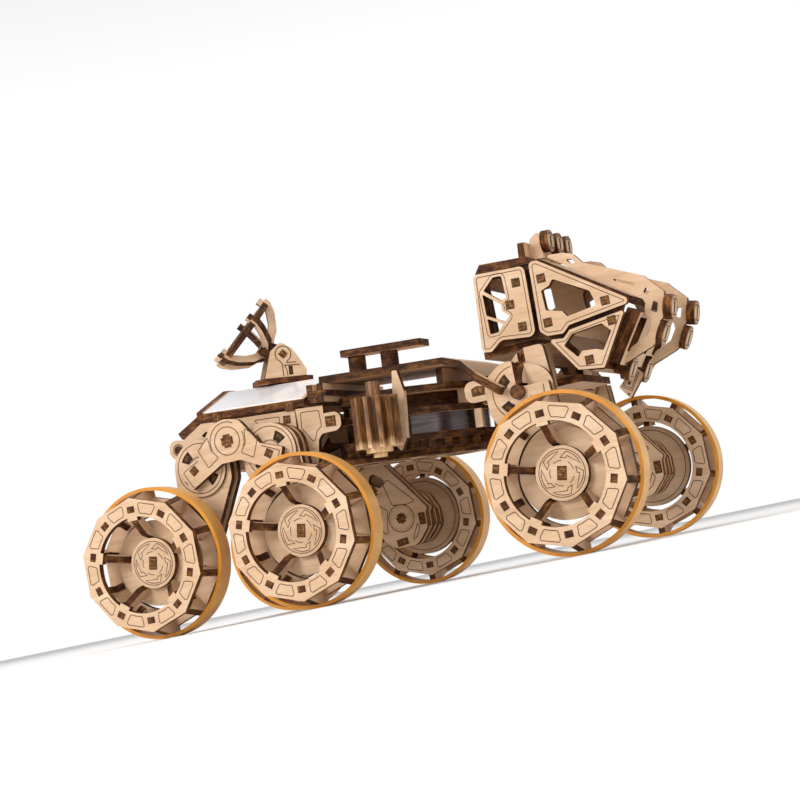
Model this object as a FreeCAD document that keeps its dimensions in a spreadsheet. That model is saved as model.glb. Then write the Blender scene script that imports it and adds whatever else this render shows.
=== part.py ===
import FreeCAD, Part
import math
import os

# Six-wheeled laser-cut plywood model of a manned planetary rover.
# Millimetres, +Z up, +X forward, origin on the floor under the middle of the
# bounding box.  Every plate is 3 mm birch plywood standing in one of the three
# main planes unless it is said to slope.

doc = FreeCAD.newDocument("rover")

# ------------------------------------------------------------------ sizes
DIMS = [
    # alias, value, what it is
    ("ply", 3.0, "plywood thickness"),
    ("foreaft", -8.373, "moves the front axle row so that the origin is central"),
    ("axleheight", 32.5, "wheel centre above the floor"),
    ("frontaxle", 94.5, "front wheel centre, before foreaft"),
    ("midaxle", -20.5, "middle wheel centre, before foreaft"),
    ("rearaxle", -92.5, "rear wheel centre, before foreaft"),
    ("wheelinner", 60.1, "inner face of a wheel from the centre plane"),
    ("wheelwide", 20.0, "width over the two rings of a wheel"),
    ("ringacross", 28.75, "corner radius of the ten-sided ring"),
    ("ringhole", 20.5, "inner radius of the ring"),
    ("ribtip", 30.9, "radius of the rib ends under the tyre"),
    ("tyreinner", 31.0, "inner radius of the tyre"),
    ("tyreouter", 32.5, "outer radius of the tyre"),
    ("tyrefrom", 0.3, "tyre edge from the inner face"),
    ("tyrewide", 8.8, "tyre width"),
    ("hubdisc", 18.4, "radius of the inner hub disc"),
    ("hubfrom", 4.0, "inner face of the hub disc from the wheel's inner face"),
    ("hubcap", 10.8, "radius of the engraved hub cap"),
    ("axlerad", 3.2, "radius of the stub axle"),
    ("bushrad", 5.3, "radius of the round bush on the axle in the inner leg plate"),
    ("runclear", 0.12, "radial running clearance"),
    ("legin", 37.0, "inner face of the inner leg plate"),
    ("legout", 43.0, "inner face of the outer leg plate"),
    ("shoein", 50.0, "inner face of the short outer leg plates"),
    ("legx", 18.5, "leg gear centre from the wheel axle, along"),
    ("legz", 37.0, "leg gear centre above the wheel axle"),
    ("legdisc", 12.5, "radius of the gear cover disc on the leg"),
    ("pivotx", -56.5, "bogie pivot, before foreaft"),
    ("pivotz", 78.0, "bogie pivot height"),
    ("armin", 48.0, "inner face of the bogie arm plate"),
    ("pivotrad", 3.9, "bogie pivot bush radius"),
    ("rake", 5.0, "the motor, its roof, the belly and the rear deck lean nose-down by this, degrees"),
    ("bellyz", 56.0, "underside of the belly plate, in the leaning frame"),
    ("drumx", 6.0, "motor centre in the leaning frame"),
    ("drumrad", 35.5, "radius of the slotted motor ring"),
    ("springrad", 32.0, "outer radius of the coiled steel spring"),
    ("sidein", 33.0, "inner face of the rear side plates"),
    ("deckridge", 97.3, "top of the deck along its flat ridge, in the leaning frame"),
    ("deckedge", 87.1, "top of the deck at its outer edge, in the leaning frame"),
    ("sheet", 0.4, "thickness of the glossy deck sheet"),
    ("panelin", 32.0, "inner face of the cab's side panels"),
    ("framein", 28.6, "inner face of the cab's inner side frames"),
    ("cabroofz", 122.6, "underside of the cab roof"),
    ("noseplate", 18.5, "inner face of the nose plates"),
    ("lamprad", 5.2, "radius of the round lamps"),
    ("lampthick", 4.0, "depth of a front lamp, two layers"),
    ("upperlean", 15.0, "upper front lamps look down by this, degrees"),
    ("lamplean", 28.0, "lower front lamps look down by this, degrees"),
    ("rooflampx", 89.6, "roof lamp centre, before foreaft"),
    ("rooflampz", 132.4, "roof lamp centre height"),
    ("screenlean", 35.2, "windscreen plates lean by this, degrees"),
    ("screenx", 121.5, "middle of the windscreen's front face, before foreaft"),
    ("screenz", 81.9, "height of that point"),
    ("dishx", -49.4, "antenna swivel axis at the base plate, before foreaft"),
    ("dishyaw", 35.0, "antenna turned about its swivel, degrees"),
    ("dishtilt", -47.7, "dish leaned back about its pin, degrees"),
    ("dishup", 13.0, "antenna pin above the base plate's underside, along the swivel axis"),
    ("dishbase", 102.75, "underside of the antenna's base plate"),
    ("dishpost", 3.0, "radius of the antenna's turning post"),
    ("dishback", 2.4, "the dish's own axis lies this far behind the pin"),
    ("dishgap", 6.5, "inner face of the antenna bracket plates"),
    ("dishpin", 1.6, "antenna pin radius"),
]
sheet = doc.addObject("Spreadsheet::Sheet", "Dims")
for row, (alias, value, note) in enumerate(DIMS, start=1):
    sheet.set("A%d" % row, note)
    sheet.set("B%d" % row, repr(float(value)))
    sheet.setAlias("B%d" % row, alias)
doc.recompute()
D = {alias: float(value) for alias, value, note in DIMS}
V = FreeCAD.Vector
NODES = []


# ------------------------------------------------------------ drawing tools
def loop_edges(loop):
    """A closed loop as edges: ("circle", u, v, r), or corners (u, v[, fillet])."""
    if loop[0] == "circle":
        _, u, v, r = loop
        return [Part.Circle(V(u, v, 0), V(0, 0, 1), r)]
    pts = [V(p[0], p[1], 0) for p in loop]
    fil = [(p[2] if len(p) > 2 else 0.0) for p in loop]
    n = len(pts)
    starts, ends, arcs = [], [], []
    for i in range(n):
        a, b, c = pts[i - 1], pts[i], pts[(i + 1) % n]
        r = fil[i]
        if r <= 0:
            starts.append(b)
            ends.append(b)
            arcs.append(None)
            continue
        ab, cb = (a - b), (c - b)
        la, lc = ab.Length, cb.Length
        ab.normalize()
        cb.normalize()
        half = math.acos(max(-1, min(1, ab.dot(cb)))) / 2
        t = r / math.tan(half)
        t = min(t, 0.49 * la, 0.49 * lc)
        r = t * math.tan(half)
        s, e = b + ab * t, b + cb * t
        mid = ab + cb
        mid.normalize()
        centre = b + mid * (r / math.sin(half))
        m = centre - mid * r
        starts.append(s)
        ends.append(e)
        arcs.append(Part.Arc(s, m, e))
    out = []
    for i in range(n):
        if arcs[i] is not None:
            out.append(arcs[i])
        j = (i + 1) % n
        if (ends[i] - starts[j]).Length > 1e-6:
            out.append(Part.LineSegment(ends[i], starts[j]))
    return out


PLANES = {"XY": "XY_Plane", "XZ": "XZ_Plane", "YZ": "YZ_Plane"}


def origin_feature(body, role):
    for f in body.Origin.OriginFeatures:
        if f.Role == role:
            return f
    raise RuntimeError(role)


def sketch(body, plane, loops, offset=None):
    """A sketch of closed loops on one of the body's own planes, set off along
    the plane's normal by an expression."""
    sk = body.newObject("Sketcher::SketchObject", "Sketch")
    sk.AttachmentSupport = (origin_feature(body, PLANES[plane]), [""])
    sk.MapMode = "FlatFace"
    if offset is not None:
        sk.setExpression("AttachmentOffset.Base.z", offset)
    for loop in loops:
        for e in loop_edges(loop):
            sk.addGeometry(e, False)
    return sk


def new_body(name):
    body = doc.addObject("PartDesign::Body", name)
    body.Label = name
    if "AllowCompound" in body.PropertiesList:
        body.AllowCompound = True
    body.setExpression("Placement.Base.x", "Dims.foreaft")
    NODES.append(body)
    return body


def pad(body, plane, loops, length, offset=None, both=False, back=False):
    sk = sketch(body, plane, loops, offset)
    p = body.newObject("PartDesign::Pad", "Pad")
    p.Profile = sk
    if "AllowMultiFace" in p.PropertiesList:
        p.AllowMultiFace = True
    p.setExpression("Length", length)
    if both:
        p.Midplane = True
    if back:
        p.Reversed = True
    body.Tip = p
    return p


def pocket(body, plane, loops, offset=None, length=None, both=False, back=False):
    sk = sketch(body, plane, loops, offset)
    p = body.newObject("PartDesign::Pocket", "Pocket")
    p.Profile = sk
    if length is None:
        p.Type = 1
    else:
        p.setExpression("Length", length)
    if both:
        p.Midplane = True
    if back:
        p.Reversed = True
    body.Tip = p
    return p


def ring_points(count, radius, turn=0.0):
    return [
        (
            radius * math.cos(math.radians(turn) + 2 * math.pi * i / count),
            radius * math.sin(math.radians(turn) + 2 * math.pi * i / count),
        )
        for i in range(count)
    ]


def box(u, v, w, h, turn=0.0, fillet=0.0):
    """A rectangle of w by h about (u, v), turned by degrees."""
    c, s = math.cos(math.radians(turn)), math.sin(math.radians(turn))
    out = []
    for a, b in ((-w / 2, -h / 2), (w / 2, -h / 2), (w / 2, h / 2), (-w / 2, h / 2)):
        out.append((u + a * c - b * s, v + a * s + b * c, fillet))
    return out


def shift(loop, du, dv, mirror=False):
    k = -1.0 if mirror else 1.0
    if loop[0] == "circle":
        return ("circle", du + k * loop[1], dv + loop[2], loop[3])
    return [(du + k * p[0], dv + p[1]) + tuple(p[2:]) for p in loop]


# XZ plates: the XZ plane's normal points to -Y, so the sign of the offset is
# the side: right-hand pieces (y < 0) take a positive offset.
def side_plate(body, loops, side, inner, thick="Dims.ply"):
    """A plate parallel to the centre plane with its inner face at `inner`."""
    if side > 0:  # right-hand side of the rover, y negative
        return pad(body, "XZ", loops, thick, offset=inner)
    return pad(body, "XZ", loops, thick, offset="-(%s)" % inner, back=True)


SIDES = [("right", 1), ("left", -1)]

# ------------------------------------------------------------------ wheels
# name, axle x alias, side
WHEELS = [
    ("front_right", "frontaxle", 1),
    ("front_left", "frontaxle", -1),
    ("middle_right", "midaxle", 1),
    ("middle_left", "midaxle", -1),
    ("rear_right", "rearaxle", 1),
    ("rear_left", "rearaxle", -1),
]
RIBS = 10
ARMS = 5


PARKED = {"front_right": 19.9}


def wheel_body(name, xalias, side):
    """A wheel is drawn about its own axle with its inner face at y = 0 and
    then carried to its place; +n is outboard."""
    body = doc.addObject("PartDesign::Body", name)
    body.Label = name
    if "AllowCompound" in body.PropertiesList:
        body.AllowCompound = True
    # parked with the ring's corners about 18 degrees off the level
    body.Placement.Rotation = FreeCAD.Rotation(V(0, 1, 0), -PARKED.get(name.split("_", 1)[1], 18))
    body.setExpression("Placement.Base.x", "Dims.foreaft + Dims.%s" % xalias)
    body.setExpression("Placement.Base.z", "Dims.axleheight")
    body.setExpression("Placement.Base.y", "%s Dims.wheelinner" % ("-" if side > 0 else ""))
    NODES.append(body)
    return body


for wname, xalias, side in WHEELS:
    b = wheel_body("wheel_" + wname, xalias, side)
    k = side  # outboard is along the XZ plane's normal on the right side
    decagon = ring_points(RIBS, D["ringacross"], 0)
    hole = ("circle", 0, 0, D["ringhole"])

    def disc(loops, start, thick):
        if k > 0:
            return pad(b, "XZ", loops, thick, offset=start)
        return pad(b, "XZ", loops, thick, offset="-(%s)" % start, back=True)

    disc([decagon, hole], "0 * Dims.ply", "Dims.ply")
    disc([decagon, hole], "Dims.wheelwide - Dims.ply", "Dims.ply")
    # a rib, drawn in the radial plane: u is the radius, v the way outboard
    w, t0, t1 = D["wheelwide"], D["tyrefrom"], D["tyrefrom"] + D["tyrewide"]
    rib = [(21.5, 0), (27.8, 0), (D["ribtip"], t0), (D["ribtip"], t1), (27.8, w), (21.5, w), (21.5, 15.5), (24.0, 12.5), (24.0, 6.0), (21.5, 4.0)]
    rib = [(u, -k * v) for u, v in rib]
    p = pad(b, "XY", [rib], "Dims.ply", both=True)
    pol = b.newObject("PartDesign::PolarPattern", "Ribs")
    pol.Originals = [p]
    pol.Axis = (origin_feature(b, "Y_Axis"), [""])
    pol.Angle = 360
    pol.Occurrences = RIBS
    b.Tip = pol
    # every second rib runs on inwards as a curved arm down to the hub disc
    arm = [(21.6, 19.6), (21.6, 15.2), (19.2, 13.2, 3), (14.8, 7.0), (10.9, 7.0), (12.4, 12.6, 4), (18.3, 18.4, 3), (20.4, 19.6)]
    arm = [(q[0], -k * q[1]) + tuple(q[2:]) for q in arm]
    p = pad(b, "XY", [arm], "Dims.ply", both=True)
    pol = b.newObject("PartDesign::PolarPattern", "Arms")
    pol.Originals = [p]
    pol.Axis = (origin_feature(b, "Y_Axis"), [""])
    pol.Angle = 360
    pol.Occurrences = ARMS
    b.Tip = pol
    disc([("circle", 0, 0, D["hubdisc"])], "Dims.hubfrom", "Dims.ply")
    disc([("circle", 0, 0, D["hubcap"])], "Dims.hubfrom + Dims.ply", "Dims.ply")
    lugs = [box(20.05 * math.cos(a), 20.05 * math.sin(a), 2.3, 4.8, math.degrees(a)) for a in (2 * math.pi * i / ARMS for i in range(ARMS))]
    disc(lugs, "Dims.wheelwide - Dims.ply", "Dims.ply")
    # the ribs' tab ends stand a hair proud of the outer ring
    ends = [box(23.7 * math.cos(a), 23.7 * math.sin(a), 2.4, 3.2, math.degrees(a)) for a in (2 * math.pi * i / RIBS for i in range(RIBS))]
    disc(ends, "Dims.wheelwide - 0.5", "0.7")
    # stub axle inwards to the inner leg plate, ending in a round bush
    disc([("circle", 0, 0, D["axlerad"])], "Dims.legin + Dims.ply - Dims.wheelinner - 0.01", "Dims.wheelinner - Dims.legin - Dims.ply + Dims.hubfrom + 0.02")
    disc([("circle", 0, 0, D["bushrad"])], "Dims.legin - Dims.wheelinner", "Dims.ply")

    b = wheel_body("tyre_" + wname, xalias, side)
    tyre = [("circle", 0, 0, D["tyreouter"]), ("circle", 0, 0, D["tyreinner"])]
    if k > 0:
        pad(b, "XZ", tyre, "Dims.tyrewide", offset="Dims.tyrefrom")
    else:
        pad(b, "XZ", tyre, "Dims.tyrewide", offset="-Dims.tyrefrom", back=True)

# -------------------------------------------------------------------- legs
# corners of a leg plate about the wheel axle, for a leg that climbs towards -x
GX, GZ = -D["legx"], D["legz"]
LEG = [
    (GX - 4, GZ + 14.2, 8), (GX + 13, GZ + 8, 10), (-4.5, 27, 6), (4.0, 16.0, 4), (13.8, 2.6, 1),
    (12.6, 0.8, 1), (12.2, -6.4, 5), (5.6, -13.6, 5), (-5.6, -13.4, 4), (-10.5, -8.5, 3),
    (-24.5, 15.6, 6), (GX - 13.8, GZ - 7, 6), (GX - 14.2, GZ + 7, 8),
]
SHOE = [(-11, 9, 6), (2, 13, 5), (9, 9.0, 3), (12.4, 2.0, 2), (12.2, -6.0, 6), (5.0, -13.2, 6), (-6.0, -12.8, 6), (-12.0, -5.0, 6)]
# leg name, wheel x alias, mirrored (climbs towards +x)
LEGS = [("front", "frontaxle", False), ("middle", "midaxle", False), ("rear", "rearaxle", True)]


def leg_into(b, side, wx, wz, mirror, disc_to, pinned):
    """The plates of one leg about the wheel axle at (wx, wz); disc_to is the
    outer face of its gear cover disc, pinned says it hangs on its own pin."""
    bush = ("circle", 0, 0, D["bushrad"] + D["runclear"])
    bore = ("circle", 0, 0, D["axlerad"] + D["runclear"])
    window = [(-11.0, 24.0, 2), (-4.4, 19.5, 2), (-7.0, 15.5, 2), (-13.5, 19.0, 2)]
    gearhole = [("circle", GX, GZ, 3.12)] if pinned else []

    def at(loops):
        return [shift(q, wx, wz, mirror) for q in loops]

    side_plate(b, at([LEG, bush, window] + gearhole), side, "Dims.legin")
    side_plate(b, at([LEG, bore] + gearhole), side, "Dims.legout")
    side_plate(b, at([SHOE, bore]), side, "Dims.shoein")
    side_plate(b, at([SHOE, bore]), side, "Dims.shoein + 2 * Dims.ply - 0.5")
    # two toothed spacer blocks near the axle and one higher up
    side_plate(b, at([box(10.3, -2.0, 3.0, 7.8), box(-1.6, -11.0, 7.4, 3.0)]), side, "Dims.legin", "Dims.shoein + 3 * Dims.ply - 0.5 - Dims.legin")
    side_plate(b, at([box(-20.0, 20.0, 3.0, 7.0, 30)]), side, "Dims.legin", "Dims.legout + Dims.ply - Dims.legin")
    # gear cover disc between and over the plates
    side_plate(b, at([("circle", GX, GZ, D["legdisc"])] + gearhole), side, "Dims.legin + Dims.ply", "%s - Dims.legin - Dims.ply" % disc_to)


# the cross beam over the front legs slips down into slots in the plates
BEAMX, BEAMFOOT = (75.6, 78.6), 71.4
b = new_body("front_legs")
for sname, side in SIDES:
    leg_into(b, side, D["frontaxle"], D["axleheight"], False, "(Dims.legout + Dims.ply)", True)
pocket(b, "XZ", [[(BEAMX[0] - 0.05, BEAMFOOT - 0.05), (BEAMX[1] + 0.05, BEAMFOOT - 0.05), (BEAMX[1] + 0.05, 95), (BEAMX[0] - 0.05, 95)]], both=True, length="120")
# and the outer plate and cover disc stop short in front of it
CLEAR = [(BEAMX[0] - 0.05, BEAMFOOT - 0.05), (92.0, BEAMFOOT - 0.05), (92.0, 95.0), (BEAMX[0] - 0.05, 95.0)]
pocket(b, "XZ", [CLEAR], offset="Dims.legout + Dims.ply + 0.1", length="Dims.legout - Dims.legin + 0.1")
pocket(b, "XZ", [CLEAR], offset="-(Dims.legout + Dims.ply + 0.1)", length="Dims.legout - Dims.legin + 0.1", back=True)
b = new_body("bogie_legs")
for sname, side in SIDES:
    leg_into(b, side, D["midaxle"], D["axleheight"], False, "(Dims.armin - 0.6)", False)
    leg_into(b, side, D["rearaxle"], D["axleheight"], True, "(Dims.armin - 0.6)", False)

# bogie arms: an upside-down V with a round head, tab blocks at its ends
b = new_body("bogie_arms")
px, pz = D["pivotx"], D["pivotz"]
half = [(0, 9.6, 6), (-7.0, 8.2, 5), (-15.2, -4.2), (-25.6, -8.0, 0.8), (-21.4, -17.6, 0.8), (-4.6, -9.2, 1.0)]
arm = half + [(-q[0],) + q[1:] for q in reversed(half[1:])]
arm = shift(arm, px, pz)
for sname, side in SIDES:
    side_plate(b, [arm], side, "Dims.armin")
    side_plate(b, [shift(box(-18.6, -9.4, 3.2, 3.2, 34), px, pz), shift(box(18.6, -9.4, 3.2, 3.2, -34), px, pz)], side, "Dims.armin - 0.6", "0.6")
    side_plate(b, [("circle", px, pz, D["pivotrad"])], side, "Dims.sidein + Dims.ply", "Dims.armin - Dims.sidein - Dims.ply")

# ------------------------------------------------- rear body: sides and deck
REAR_SIDE = [
    (-75.8, 89.8), (-29.1, 85.8, 0.5), (-29.9, 75.0), (-31.0, 62.0, 2), (-36.0, 58.0, 3), (-44.0, 58.0, 4),
    (-50.0, 66.0, 4), (-63.0, 66.0, 4), (-69.0, 58.0, 4), (-80.0, 60.0, 5), (-84.0, 71.0, 4), (-90.0, 75.0, 4), (-94.6, 80.0, 4.6), (-92.2, 86.0, 4.4), (-86.2, 84.4, 0.5),
]
b = new_body("rear_side_plates")
for sname, side in SIDES:
    side_plate(b, [REAR_SIDE, ("circle", -89.3, 80.8, 2.0), box(-74.5, 84.6, 3.2, 1.8, 25, 0.6), box(-79.6, 80.6, 1.6, 1.6, 25, 0.4)], side, "Dims.sidein")
    side_plate(b, [("circle", -89.3, 80.8, 2.0)], side, "Dims.sidein - Dims.ply", "2 * Dims.ply + 0.1")

# cross plates between the side plates and a floor that carries the gears
b = new_body("rear_cross_plates")
half_in = D["sidein"]
for x, z0, z1, z2, cut in ((-70.0, 66.5, 91.2, 100.2, (8.0, 8.0)), (-27.2, 62.6, 87.4, 96.3, (14.0, 9.0))):
    pad(b, "YZ", [[(-half_in, z0, 1), (half_in, z0, 1), (half_in, z1), (9.0, z2), (-9.0, z2), (-half_in, z1)], box(0, 79, cut[0] * 2, cut[1] * 2, 0, 4)], "Dims.ply", offset="%r" % x, both=True)
pad(b, "XY", [[(-71, -half_in), (-27, -half_in), (-27, half_in), (-71, half_in)], box(-48, 0, 24, 30, 0, 3)], "Dims.ply", offset="68.0", both=True)

# deck: flat ridge and two sloping halves, leaning with the motor
def motor_body(name):
    """The belly, motor, its roof and the deck lean nose-down by `rake`; their
    frame turns about the rover's cross axis through the floor origin."""
    body = doc.addObject("PartDesign::Body", name)
    body.Label = name
    if "AllowCompound" in body.PropertiesList:
        body.AllowCompound = True
    body.Placement.Rotation = FreeCAD.Rotation(V(0, 1, 0), D["rake"])
    body.setExpression("Placement.Base.x", "Dims.foreaft")
    NODES.append(body)
    return body


RIDGE, EDGE = D["deckridge"], D["deckedge"]
DECK_SECTION = [(-9.2, RIDGE - 3.2), (-36.4, EDGE - 3.2), (-36.4, EDGE), (-9.2, RIDGE), (9.2, RIDGE), (36.4, EDGE), (36.4, EDGE - 3.2), (9.2, RIDGE - 3.2)]
b = motor_body("rear_deck")
pad(b, "YZ", [DECK_SECTION], "53.2", offset="-84.6")
# cross plate at its back end, then the end plate sloping down behind
pad(b, "YZ", [[(-36.4, EDGE - 3.6), (36.4, EDGE - 3.6), (36.4, EDGE + 0.9), (9.3, RIDGE + 0.9), (-9.3, RIDGE + 0.9), (-36.4, EDGE + 0.9)]], "Dims.ply", offset="-84.6")
pad(b, "XZ", [[(-84.0, 86.6), (-82.8, 83.6), (-93.4, 77.1), (-95.2, 79.9)]], "72.4", both=True)
# hole for the antenna's turning post, square to the ridge
HOLEX = (D["dishx"] * math.cos(math.radians(D["rake"])) - D["dishbase"] * math.sin(math.radians(D["rake"])))
pocket(b, "XY", [("circle", HOLEX, 0, D["dishpost"] + 0.1)], offset="120", back=False)
b = motor_body("deck_sheet")
rise = (RIDGE - EDGE) / 27.2
SHEET = [(-35.6, EDGE + 0.8 * rise + 0.02), (-10.2, RIDGE - 1.0 * rise + 0.02), (-10.2, RIDGE - 1.0 * rise + 0.44), (-35.6, EDGE + 0.8 * rise + 0.44)]
pad(b, "YZ", [SHEET, [(-p[0], p[1]) for p in SHEET]], "48.6", offset="-81.2")

# ------------------------------------------------------------ middle: motor
cx, ringr = D["drumx"], D["drumrad"]
b = motor_body("belly_plate")
outer = [(-33, -17, 6), (-22, -24.6, 6), (13.4, -24.6, 3), (21.6, -20.6, 2), (28.6, -13.4, 2), (37.0, -9.6, 2), (37.0, 9.6, 2), (28.6, 13.4, 2), (21.6, 20.6, 2), (13.4, 24.6, 3), (-22, 24.6, 6), (-33, 17, 6)]
# a lattice of bars round a ring under the motor's shaft
cuts = [
    ("circle", cx, 0, 2.6),
    [(17.0, -3.0, 0.6), (33.5, -5.0, 1), (33.5, 5.0, 1), (17.0, 3.0, 0.6)],
    [(-28.5, -8.0, 1), (-14.0, 0.0, 0.5), (-28.5, 8.0, 1)],
]
for k in (-1, 1):
    cuts.append([(12.5, k * 9.0, 0.6), (25.5, k * 7.0, 1), (24.5, k * 12.0, 1), (14.0, k * 20.5, 1)])
    cuts.append([(-8.5, k * 21.0, 1), (8.8, k * 21.0, 1), (5.0, k * 11.5, 0.6), (-2.5, k * 10.0, 0.6)])
    cuts.append([(-22.5, k * 10.0, 1), (-10.5, k * 18.0, 1), (-4.8, k * 7.6, 0.6), (-12.0, k * 3.4, 0.6)])
    # two curved slots inside the ring
    slot = [(cx + r * math.cos(math.radians(a)), k * r * math.sin(math.radians(a))) for r, aa in ((7.4, range(20, 161, 20)), (5.0, range(160, 19, -20))) for a in aa]
    cuts.append(slot)
pad(b, "XY", [outer] + cuts, "Dims.ply", offset="Dims.bellyz")
b = motor_body("motor_ring")
teeth = 30
pad(b, "XY", [("circle", cx, 0, ringr - 3.4), ("circle", cx, 0, 9.0)], "0.8", offset="Dims.bellyz + Dims.ply")
pad(b, "XY", [("circle", cx, 0, ringr - 3.4), ("circle", cx, 0, 9.0)], "3.2", offset="Dims.bellyz + Dims.ply + 0.4")
blocks = [box(cx + (ringr - 1.9) * math.cos(2 * math.pi * i / teeth), (ringr - 1.9) * math.sin(2 * math.pi * i / teeth), 3.6, 3.2, 360.0 * i / teeth) for i in range(teeth)]
pad(b, "XY", blocks, "3.2", offset="Dims.bellyz + Dims.ply + 0.4")
pad(b, "XY", [("circle", cx, 0, ringr), ("circle", cx, 0, 9.0)], "Dims.ply", offset="Dims.bellyz + Dims.ply + 3.4")
b = motor_body("motor_spring")
SPRINGFOOT, SPRINGTOP = 65.4, 73.6
pad(b, "XY", [("circle", cx, 0, D["springrad"]), ("circle", cx, 0, 11.0)], "%r" % (SPRINGTOP - SPRINGFOOT), offset="%r" % SPRINGFOOT)
# stacked plates: two twelve-sided ones with bevelled corners
b = motor_body("motor_plates")
for z, r in ((SPRINGTOP, 36.0), (83.0, 35.0)):
    ring = [(cx + p[0], p[1], 3) for p in ring_points(12, r, 15)]
    notch = ("circle", cx, 0, 9.0)
    pad(b, "XY", [ring, notch], "Dims.ply", offset="%r" % z)
pad(b, "XY", [("circle", cx, 0, 24.0), ("circle", cx, 0, 9.0)], "6.4", offset="%r" % (SPRINGTOP + 3.0))
for x, y, w, h in ((-12, -27, 12, 3), (-12, 27, 12, 3), (27, -9, 6, 3), (27, 9, 6, 3)):
    pad(b, "XY", [box(cx + x, y, w, h)], "6.4", offset="%r" % (SPRINGTOP + 3.0))
for y in (-12.0, 12.0):
    pad(b, "XY", [box(cx + 33.4, y, 3.4, 3.0)], "8.2", offset="%r" % SPRINGFOOT)
# two cross plates and the strip between them, behind the stack
for x in (-31.0, -26.0):
    pad(b, "YZ", [[(-33.3, 84.8), (33.3, 84.8), (33.3, 92.9), (-33.3, 92.9)]], "Dims.ply", offset="%r" % x)
pad(b, "XY", [[(-28.5, -33.3), (-22.0, -33.3), (-22.0, 33.3), (-28.5, 33.3)]], "2.6", offset="87.4")
# lug that holds the winding knob
KNOB = (6.8, -48.2)
pad(b, "XY", [[(KNOB[0] - 5.0, -33.0), (KNOB[0] + 5.0, -33.0), (KNOB[0] + 5.0, KNOB[1] - 3.0, 4), (KNOB[0] - 5.0, KNOB[1] - 3.0, 4)], ("circle", KNOB[0], KNOB[1], 3.1)], "Dims.ply", offset="83.0")
# upright plates with pointed feet outside the stack
POSTS = [
    [(9.6, 62.0, 0.6), (12.6, 58.6, 0.6), (15.6, 64.0), (16.6, 84.0), (14.4, 93.0, 0.6), (12.2, 93.0, 0.6)],
]
for sname, side in SIDES:
    side_plate(b, POSTS, side, "35.7")
b = motor_body("motor_roof")
pad(b, "XZ", [[(-27.0, 93.2), (31.0, 93.4), (38.6, 90.8), (44.6, 84.6), (46.6, 86.6), (39.6, 93.8), (31.6, 96.4), (-27.0, 96.3)]], "56", both=True)
pad(b, "YZ", [[(-18.0, 86.0), (18.0, 86.0), (18.0, 92.9), (-18.0, 92.9)]], "Dims.ply", offset="24.0")
b = motor_body("top_hatch")
pad(b, "XY", [[(-26.0, -6.0, 2), (13.6, -6.0, 1), (13.6, 6.0, 1), (-26.0, 6.0, 2)]], "Dims.ply", offset="105.5")
pad(b, "XY", [("circle", -4, 0, 4.0), ("circle", -20, 0, 4.0)], "9.2", offset="96.45")
# finned winding knob standing beside the right-hand side of the motor
b = motor_body("winding_knob")
kx, ky = KNOB
pad(b, "XY", [("circle", kx, ky, 3.0)], "32.0", offset="57.0")
pad(b, "XY", [("circle", kx, ky, 5.6)], "2.0", offset="80.8")
pad(b, "XY", [("circle", kx, ky, 5.6)], "22.0", offset="59.0")
fins = [box(kx + 7.4 * math.cos(math.radians(a)), ky + 7.4 * math.sin(math.radians(a)), 5.0, 1.8, a) for a in range(0, 360, 30)]
pad(b, "XY", fins, "21.5", offset="61.0")

# bracket plates in line with the rear side plates, each with an ear forward
b = new_body("motor_side_brackets")
BRACKET = [(-28.8, 86.0), (-15.7, 84.7), (-15.9, 81.2), (-10.6, 81.0, 3), (-8.2, 79.0, 3), (-8.8, 74.0, 3), (-11.4, 72.8, 1), (-18.4, 72.9, 2.5), (-20.4, 70.6, 1), (-22.6, 61.0), (-28.8, 61.0)]
for sname, side in SIDES:
    side_plate(b, [BRACKET], side, "Dims.sidein")


# ----------------------------------------------------------------- antenna
# The antenna turns about an axis square to the deck's ridge; its frame's own
# x axis points away from the dish.
LEAN = FreeCAD.Rotation(V(0, 1, 0), D["rake"])


def antenna_body(name, up=0.0, tilt=0.0, back=0.0):
    """A body turned with the antenna, `up` along the swivel axis above the
    base plate, tilted about that point and set back along its own x axis."""
    body = doc.addObject("PartDesign::Body", name)
    body.Label = name
    if "AllowCompound" in body.PropertiesList:
        body.AllowCompound = True
    turned = LEAN.multiply(FreeCAD.Rotation(V(0, 0, 1), D["dishyaw"])).multiply(FreeCAD.Rotation(V(0, 1, 0), tilt))
    body.Placement.Rotation = turned
    at = LEAN.multVec(V(0, 0, up)) - turned.multVec(V(back, 0, 0))
    body.setExpression("Placement.Base.x", "Dims.foreaft + Dims.dishx + (%r)" % at.x)
    body.setExpression("Placement.Base.y", "(%r)" % at.y)
    body.setExpression("Placement.Base.z", "Dims.dishbase + (%r)" % at.z)
    NODES.append(body)
    return body


b = antenna_body("antenna_bracket")
up = D["dishup"]
BR = [(-9.8, 1.0), (9.7, 1.0), (10.1, 5.2, 1), (6.9, 11.2), (4.3, 15.2, 3), (0.4, 18.0, 3), (-1.6, 17.9, 2), (-5.7, 14.7, 2)]
for sname, side in SIDES:
    side_plate(b, [BR, ("circle", 0, up, D["dishpin"] + 0.06)], side, "Dims.dishgap")
pad(b, "XY", [[(-13.2, -6.5), (-9.4, -10.4), (9.4, -10.4), (13.2, -6.5), (13.2, 6.5), (9.4, 10.4), (-9.4, 10.4), (-13.2, 6.5)]], "Dims.ply - 0.6")
pad(b, "XY", [("circle", 0, 0, 7.0)], "0.6", offset="-0.6")
pad(b, "XY", [("circle", 0, 0, D["dishpost"])], "4.0", offset="-4.0")

b = antenna_body("antenna_dish", D["dishup"], D["dishtilt"], D["dishback"])
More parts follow.
